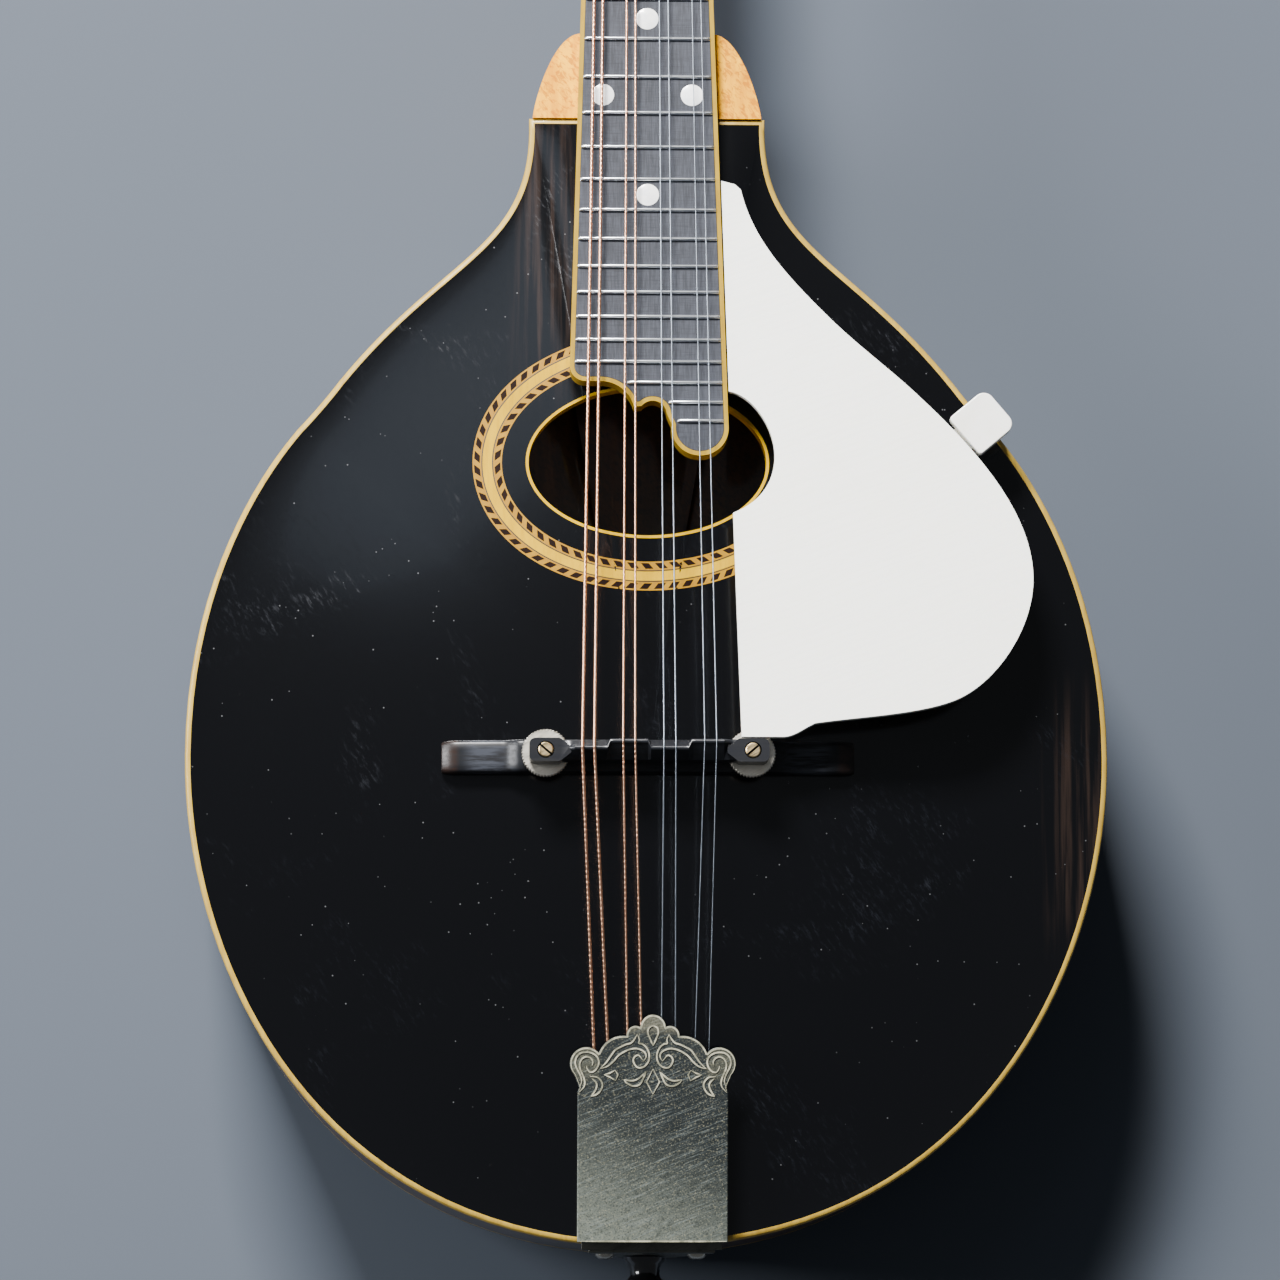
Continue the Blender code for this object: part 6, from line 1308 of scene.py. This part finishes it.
def ribbon(path, width, level, taper):
    """A thin line lying on a flat face, narrower at its ends."""
    path = np.array([tuple(point) for point in path])
    tangents = np.gradient(path, axis=0)
    tangents /= np.maximum(np.linalg.norm(tangents, axis=1), 1e-12)[:, None]
    count, points, faces = len(path), [], []
    for index, ((x, y), (tx, ty)) in enumerate(zip(path, tangents)):
        share = index / (count - 1)
        size = width / 2 * (0.25 + 0.75 * min(1.0, share / taper, (1.0 - share) / taper))
        points += [(x - ty * size, y + tx * size, level), (x + ty * size, y - tx * size, level)]
        if index:
            faces.append((2 * index - 2, 2 * index - 1, 2 * index + 1, 2 * index))
    return new_mesh(points, faces)


def ornament():
    """Plain scrollwork of the usual kind: scrolls, leaves, crescents and a lozenge, in millimetres."""
    tip, peak, cusp = (14.2, 48.8), (4.25, 58.0), (2.5, 50.8)
    curves = [
        [tip, (12.6, 50.4), (11.3, 52.2), (10.2, 53.7), (8.7, 54.6), (7.2, 55.3), (5.9, 55.7), (5.0, 56.7),
         peak],
        [peak, (3.7, 56.6), (3.8, 55.6), (2.9, 55.4), (1.9, 54.6), (1.2, 53.3), (1.0, 52.0), (1.3, 50.7),
         (2.1, 49.6), (3.1, 49.1), (4.2, 49.2), (5.0, 50.1), (5.3, 51.2), (4.8, 52.1), (3.9, 52.4),
         (3.2, 51.7), cusp],
        [cusp, (1.9, 51.9), (2.1, 53.0), (3.1, 53.8), (4.5, 54.2), (6.1, 54.0), (7.8, 53.3), (9.4, 52.2),
         (10.7, 50.7), (12.3, 49.4), tip],
        [(7.8, 45.9), (6.9, 44.9), (5.2, 44.2), (3.5, 44.7), (2.4, 46.7), (1.8, 48.0)],
        [(1.8, 48.0), (2.9, 47.0), (4.2, 46.0), (5.8, 45.6), (7.8, 45.9)],
        [(0.0, 60.3), (1.1, 59.7), (1.4, 58.4), (0.8, 56.8), (0.0, 54.9)],
        [(16.8, 46.7), (14.9, 46.5), (13.7, 45.2), (13.6, 43.9), (14.4, 42.5), (15.4, 41.8), (16.6, 41.4)],
        [(16.4, 46.2), (15.2, 45.1), (15.1, 43.8), (15.8, 42.4), (16.6, 41.4)],
        [(19.7, 42.5), (18.4, 44.1), (18.3, 45.7), (18.9, 47.4), (19.5, 48.8), (19.6, 50.2), (19.0, 51.4),
         (17.9, 52.0), (16.8, 51.7), (16.1, 50.7), (16.3, 49.6)],
        [(17.8, 49.6), (17.6, 48.8), (16.9, 47.9), (15.8, 48.1), (14.9, 49.1), (14.5, 50.4), (14.7, 51.5),
         (15.4, 52.4), (16.5, 53.0), (17.8, 53.2), (19.2, 53.0), (20.3, 52.1), (20.8, 50.7), (20.6, 49.4),
         (19.9, 48.0), (19.3, 46.7), (19.1, 45.3), (19.6, 43.8)]]
    straight = [[(13.1, 47.2), (11.6, 47.6), (10.1, 48.4)], [(10.1, 48.4), (9.4, 47.2), (10.0, 45.6)],
                [(10.0, 45.6), (11.6, 46.6), (13.1, 47.2)], [(0.0, 48.8), (1.75, 45.3), (0.0, 42.0)]]
    lines = [curve(points) for points in curves] + straight
    lines += [mirrored(line) for line in lines]
    return [[(x / 1000, y / 1000) for x, y in line] for line in lines]


def make_cover():
    """A sheet with a scrolled crown, walls at its sides and its end, and scrollwork drawn as pale lines with
    a painted shade beside each, and painted highlights along its edges.
    """
    half, sheet, rounding, under = COVER_HALF_WIDTH, COVER_SHEET, 0.00022, -COVER_SHEET / 2
    outline = cover_outline()
    levels = ((outline, -sheet), (outline, -rounding), (inset_path(outline, rounding), 0.0))
    skin = loft([[(x, y, z) for x, y in path] for path, z in levels])
    cover = piece("scrolled_cover", skin, COVER_METAL, TAIL, "tailpiece_cover", "cover", sharp=25.0)
    for low, high in (((-half, COVER_START, -0.0062), (sheet - half, 0.0414, under)),
                      ((half - sheet, COVER_START, -0.0062), (half, 0.0414, under)),
                      ((-half, COVER_START, -0.0057), (half, COVER_START + sheet, under))):
        carve(cover, moved(box(low, high), TAIL), "UNION")
    lines = ornament()
    # painted shade: a dark ribbon offset a little beside each engraved line stands in for the shadow in the
    # cut
    shades = [ribbon([(x + 0.00016, y - 0.00026) for x, y in line], 0.00055, 0.00003, 0.2) for line in lines]
    piece("cover_engraving_shade", joined(shades), GROOVE_SHADE, TAIL, body="cover")
    # painted highlight: a pale line just inside the outline and one along the lower edge stand in for light
    # caught by the cover's edges
    rim = inset_path(outline, 0.00030)
    low = min(y for x, y in rim)
    lines += [rim[2:-2], [(x, low) for x in np.linspace(-0.0198, 0.0198, 30)]]
    bright = [ribbon(line, 0.00042, 0.00005, 0.15) for line in lines]
    piece("cover_engraving", joined(bright), ENGRAVING_AND_HIGHLIGHT, TAIL, body="cover")


def make_hooks():
    """The plate below the cover, bent down over the tail, with its hooks and screws."""
    half, face, thick = COVER_HALF_WIDTH - COVER_SHEET - SEAT_GAP, TAIL_PLATE_FACE, TAIL_PLATE
    # painted shade: the hook plate takes the darker nickel, for the cover's shadow over it
    base = piece("hook_plate", box((-half, 0.0, face - thick), (half, 0.0360, face)), SHADED_PLATE_NICKEL, TAIL,
                 "tailpiece_base", bevel=0.0003)
    lift = COVER_LEVEL + face / cos(TAIL_TILT)
    tongue = [(0.0170, lift - thick / 2), (0.0165, -0.0015), (0.0150, -0.0065), (0.0105, -0.0190)]
    tongue += [(0.0082, -0.0265)] + arc(0.0, -0.0280, 0.0080, -2.0, -90.0, 12)
    tongue += mirrored(reversed(tongue[:-1]))
    tongue = drawn([(x + TAIL_OFFSET, z) for x, z in tongue], (TAIL_FACE, TAIL_FACE + thick), "Y")
    carve(base, moved(tongue, ROOT), "UNION")

    bend, root, middle = face + 0.0024, face - 0.0004, HOOK_PLACE - 0.0018
    stem = [(HOOK_PLACE, root), (HOOK_PLACE, bend)] + arc(middle, bend, 0.0018, 0.0, 150.0, 9)
    stem += arc(middle, bend, 0.0009, 150.0, 0.0, 7) + [(HOOK_PLACE - 0.0009, root)]
    parts = [moved(drawn(stem, (x - 0.0009, x + 0.0009)), TAIL) for x in course_places(*AT_HOOKS)]
    for x, z, angle in ((-0.0124, -0.0040, 0.7), (0.0124, -0.0040, -0.4), (0.0, -0.0315, 0.2)):
        spin = ROOT @ at(x + TAIL_OFFSET, TAIL_FACE, z, "X", pi / 2) @ at(axis="Z", angle=angle)
        parts.append(moved(slotted_head(0.0026, 0.0013, 0.0006), spin))
    piece("string_hooks", joined(parts), NICKEL, Matrix.Identity(4), bevel=0.0001, segments=1)


def make_end_pin():
    end = TAIL_FACE - SEAT_GAP - PIN_LENGTH
    profile = [(end + along, radius) for along, radius in (
        (0.0, 0.0006), (0.00012, 0.0022), (0.0005, 0.0042), (0.0012, 0.0054), (0.0022, 0.0059),
        (0.0032, 0.0060), (0.0042, 0.0055), (0.0052, 0.0046), (0.0062, 0.0040), (0.0078, 0.0041),
        (0.0092, 0.0047), (0.0100, 0.0055), (PIN_LENGTH, 0.0057), (PIN_LENGTH, 0.0035))]
    pin = lathe(profile + [(-TAIL_REACH + 0.016, 0.0032)], 40, "Y")
    piece("turned_end_pin", pin, HEAD_EBONY, ROOT @ at(z=PIN_LEVEL), "end_pin", sharp=60.0)


# Pickguard and its clamp

def guard_outline():
    def place(across, along):
        return HALF_WIDTH * across, JOINT_REACH * along

    top, bite_high, bite_low = (JOINT_REACH * share for share in (0.8926, 0.5551, 0.3628))
    points = [(board_half_width(top) + SEAT_GAP, top), place(0.1912, 0.8870)]
    start = (0.2040, 0.8785)
    for out, back, end in (((0.2271, 0.8043), (0.2908, 0.7480), (0.3984, 0.6710)),
                           ((0.4650, 0.6234), (0.5320, 0.5888), (0.5976, 0.5422)),
                           ((0.7649, 0.4274), (0.8290, 0.3400), (0.8290, 0.2640)),
                           ((0.8290, 0.1850), (0.7450, 0.0980), (0.6562, 0.0722)),
                           ((0.5800, 0.0500), (0.4500, 0.0460), (0.3554, 0.0359)),
                           ((0.3280, 0.0270), (0.3100, 0.0146), (0.2850, 0.0146))):
        points += bezier(place(*start), place(*out), place(*back), place(*end), 22)
        start = end
    points.append(place(*start))
    points += [(points[-1][0], GUARD_START), (0.0248, GUARD_START), (0.0229, bite_low)]
    bite_top = (board_half_width(bite_high) + SEAT_GAP, bite_high)
    x, y = HOLE_HALF_WIDTH + 0.0017, HOLE_PLACE + 0.0005
    points += bezier(points[-1], (x - 0.0028, bite_low + 0.0035), (x, y - 0.0063), (x, y), 16)[1:]
    points += bezier((x, y), (x, y + 0.0072), (x - 0.0053, bite_high - 0.0012), bite_top, 18, True)
    return [(x, (y - GUARD_START) / cos(GUARD_TILT)) for x, y in points]


def make_guard():
    piece("ivoroid_guard", prism(guard_outline(), -GUARD_THICKNESS, 0.0), GUARD_IVOROID, GUARD, "pickguard",
          bevel=0.0006, segments=4, sharp=30.0)


def frame_levels(node):
    """How low and how high a node of the frame reaches, from the rim's upper edge."""
    return [corner.z - RIM_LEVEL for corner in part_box(node)]


def make_clamp():
    rough = half_outline(steps=(6, 5, 6))[6:]
    x = float(np.interp(CLAMP_REACH, [y for _, y in rough], [x for x, _ in rough]))
    clamp = ROOT @ at(x, CLAMP_REACH, 0.0, "Z", CLAMP_ANGLE)
    (seat, top), (jaw_low, high) = frame_levels("guard_clamp_block"), frame_levels("guard_bracket")
    low, half = top - 0.0036, 0.0066
    plan = rounded_plan((-0.0098, -half), (0.0032, half), ((0.0030, 10), (0.0010, 5)))
    block = piece("clamp_block", prism(plan, low, top), CLAMP_IVOROID, clamp, "guard_clamp_block",
                  bevel=0.0009, segments=4, sharp=40.0)
    leg = box((-0.0045, -0.0040, seat + 0.0001), (-0.0010, 0.0040, low + 0.001))
    tongue = box((-0.0143, -half + 0.003, low - 0.0014), (-0.0068, half - 0.003, low + 0.0008))
    for part in (leg, tongue):
        carve(block, moved(part, clamp), "UNION")

    near, far, jaw_end, jaw_top, turn = 0.0005, 0.0018, -0.0068, jaw_low + 0.0020, 0.0016
    side_view = [(far, high)] + arc(far - turn, jaw_low + turn, turn, 0, -90, 8)
    side_view += [(jaw_end, jaw_low), (jaw_end, jaw_top), (near - 0.0006, jaw_top), (near, jaw_top + 0.0006),
                  (near, high)]
    bracket = piece("clamp_bracket", drawn(side_view, np.linspace(-0.0045, 0.0045, 9), "Y"), NICKEL, clamp,
                    "guard_bracket", bevel=0.0003, sharp=30.0)
    place = clamp @ at(CLAMP_SCREW_PLACE)
    carve(bracket, moved(lathe([(jaw_low - 0.002, 0.0018), (jaw_low + 0.004, 0.0018)], 24), place))

    pad_low, pad_top = frame_levels("guard_pad")
    soft = [(pad_low, 0.0026), (pad_low + 0.0003, 0.0030), (pad_top - 0.0004, 0.0030),
            (pad_top - 0.0001, 0.0027), (pad_top, 0.0023)]
    piece("felt_pad", lathe(soft, 32), FELT, place, "guard_pad", "clamp_pad", sharp=60.0)
    knob_top = jaw_low - 0.0006
    stem = threaded(knob_top - 0.0005, pad_low - SEAT_GAP, 0.00125, 0.0015, 0.0006, 0.0, 20, 8)
    rim = [(knob_top - drop, radius, share) for drop, radius, share in (
        (0.0026, 0.0036, 0.0), (0.0023, 0.0043, 0.6), (0.0020, 0.0045, 1.0), (0.0006, 0.0045, 1.0),
        (0.0003, 0.0043, 0.6), (0.0, 0.0034, 0.0))]
    screw = joined([moved(stem, at(axis="Y", angle=-pi / 2)), knurled(rim, 26, 0.00035)])
    piece("clamp_thumbscrew", screw, NICKEL, place, "guard_screw", "clamp_screw", sharp=40.0)


# Strings

def coil_round(x, y, radius, start_angle, turns, pitch, direction, steps=14):
    """A string's turns round its post, from the top down."""
    points = []
    for index in range(int(turns * steps) + 1):
        angle = start_angle + direction * 2 * pi * index / steps
        level = STRING_POST_LEVEL + 0.5 * pitch * turns - pitch * index / steps
        points.append(Vector((x + radius * cos(angle), y + radius * sin(angle), level)))
    return points


def make_strings():
    at_nut, at_saddle, at_hook = (course_places(*spread) for spread in (AT_NUT, AT_SADDLE, AT_HOOKS))
    places = post_places()
    posts = places[:4] + list(reversed(places[4:]))
    neck, head, tail = (ROOT.inverted() @ matrix for matrix in (NECK, HEAD, TAIL))
    for index in range(8):
        course = index // 2
        radius = STRING_DIAMETERS[course] / 2
        paint, turns = (BRONZE, 2.6) if course < 2 else (STEEL, 4.0)
        name = "string_%s%d" % (COURSES[course], index % 2 + 1)
        saddle = Vector((at_saddle[index], CREST_PLACES[course], SADDLE_TOP + SEAT_GAP + radius))
        level = NUT_HEIGHT - NUT_NOTCH + SEAT_GAP + radius
        nut = neck @ Vector((at_nut[index], NUT_LENGTH * 0.5, level))
        leave = neck @ Vector((at_nut[index], NUT_LENGTH, level - SEAT_GAP * 0.4))
        post_x, post_y, side = posts[index]
        wind = POST_WAIST + radius + 0.00005
        from_post = (head.inverted() @ leave).xy - Vector((post_x, post_y))
        meet = atan2(from_post.y, from_post.x) + side * acos(wind / from_post.length)
        pitch = min(2.05 * radius, 0.0032 / turns)
        path = [saddle + (nut - saddle) * share for share in np.linspace(0.0, 1.0, 40)] + [leave]
        path += [head @ point for point in coil_round(post_x, post_y, wind, meet, turns, pitch, side)]
        front = piece(name + "_front", tube(path, radius), paint, ROOT, name, None)
        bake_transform(front)

        hook = tail @ Vector((at_hook[index], HOOK_PLACE + SEAT_GAP + radius, TAIL_PLATE_FACE + 0.0020))
        direct, reach = (saddle - hook).normalized(), (saddle - hook).length
        loop = arc(0.0, -0.0008 - radius, 0.0013, 75, -255, 20)
        path = [hook + tail.to_3x3() @ Vector((x, y, 0.0)) for x, y in loop]
        path += [hook + direct * (0.0020 + reach * share) for share in np.linspace(0.0, 0.94, 24)] + [saddle]
        wrap = tube([hook + direct * along for along in np.linspace(0.0018, 0.0105, 8)], 2.0 * radius, 12)
        rear = piece(name + "_rear", joined([tube(path, radius), wrap]), paint, ROOT, name, None)
        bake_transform(rear)


# Surroundings

def add_light(name, direction, distance, size, power, colour):
    data = bpy.data.lights.new(name, "AREA")
    data.shape = "RECTANGLE"
    data.size, data.size_y = size
    data.energy = power
    data.color = colour
    lamp = linked(name, data)
    target = Vector((0.0, 0.0, 0.05))
    lamp.location = target + Vector(direction).normalized() * distance
    lamp.rotation_euler = (lamp.location - target).to_track_quat("Z", "Y").to_euler()


def make_surroundings():
    floor = linked("floor", new_mesh([(-6, -6, 0), (6, -6, 0), (6, 6, 0), (-6, 6, 0)], [(0, 1, 2, 3)]))
    floor.location.z = -0.0002
    floor.data.materials.append(FLOOR)
    add_light("key", (-0.33, 0.92, 0.88), 2.2, (0.7, 0.5), 250.0, (1.0, 0.985, 0.97))
    add_light("side", (-1.0, 0.15, 0.55), 2.4, (1.1, 0.9), 90.0, (0.97, 0.98, 1.0))
    add_light("sheen", (-0.21, 0.34, 0.93), 2.4, (0.62, 0.50), 1.0, (0.66, 0.80, 1.0))
    world = bpy.data.worlds.new("studio")
    world.use_nodes = True
    shade = world.node_tree.nodes["Background"]
    shade.inputs["Color"].default_value = (0.88, 0.93, 1.0, 1.0)
    shade.inputs["Strength"].default_value = 0.13
    bpy.context.scene.world = world


for make in (make_plates, make_rim, make_bindings, make_rosette, make_neck, make_headstock, make_board,
             make_frets_and_dots, make_board_binding, make_nut, make_tuners, make_tuner_strips, make_foot,
             make_posts_and_wheels, make_saddle, make_cover, make_hooks, make_end_pin, make_guard, make_clamp,
             make_strings, make_surroundings):
    make()
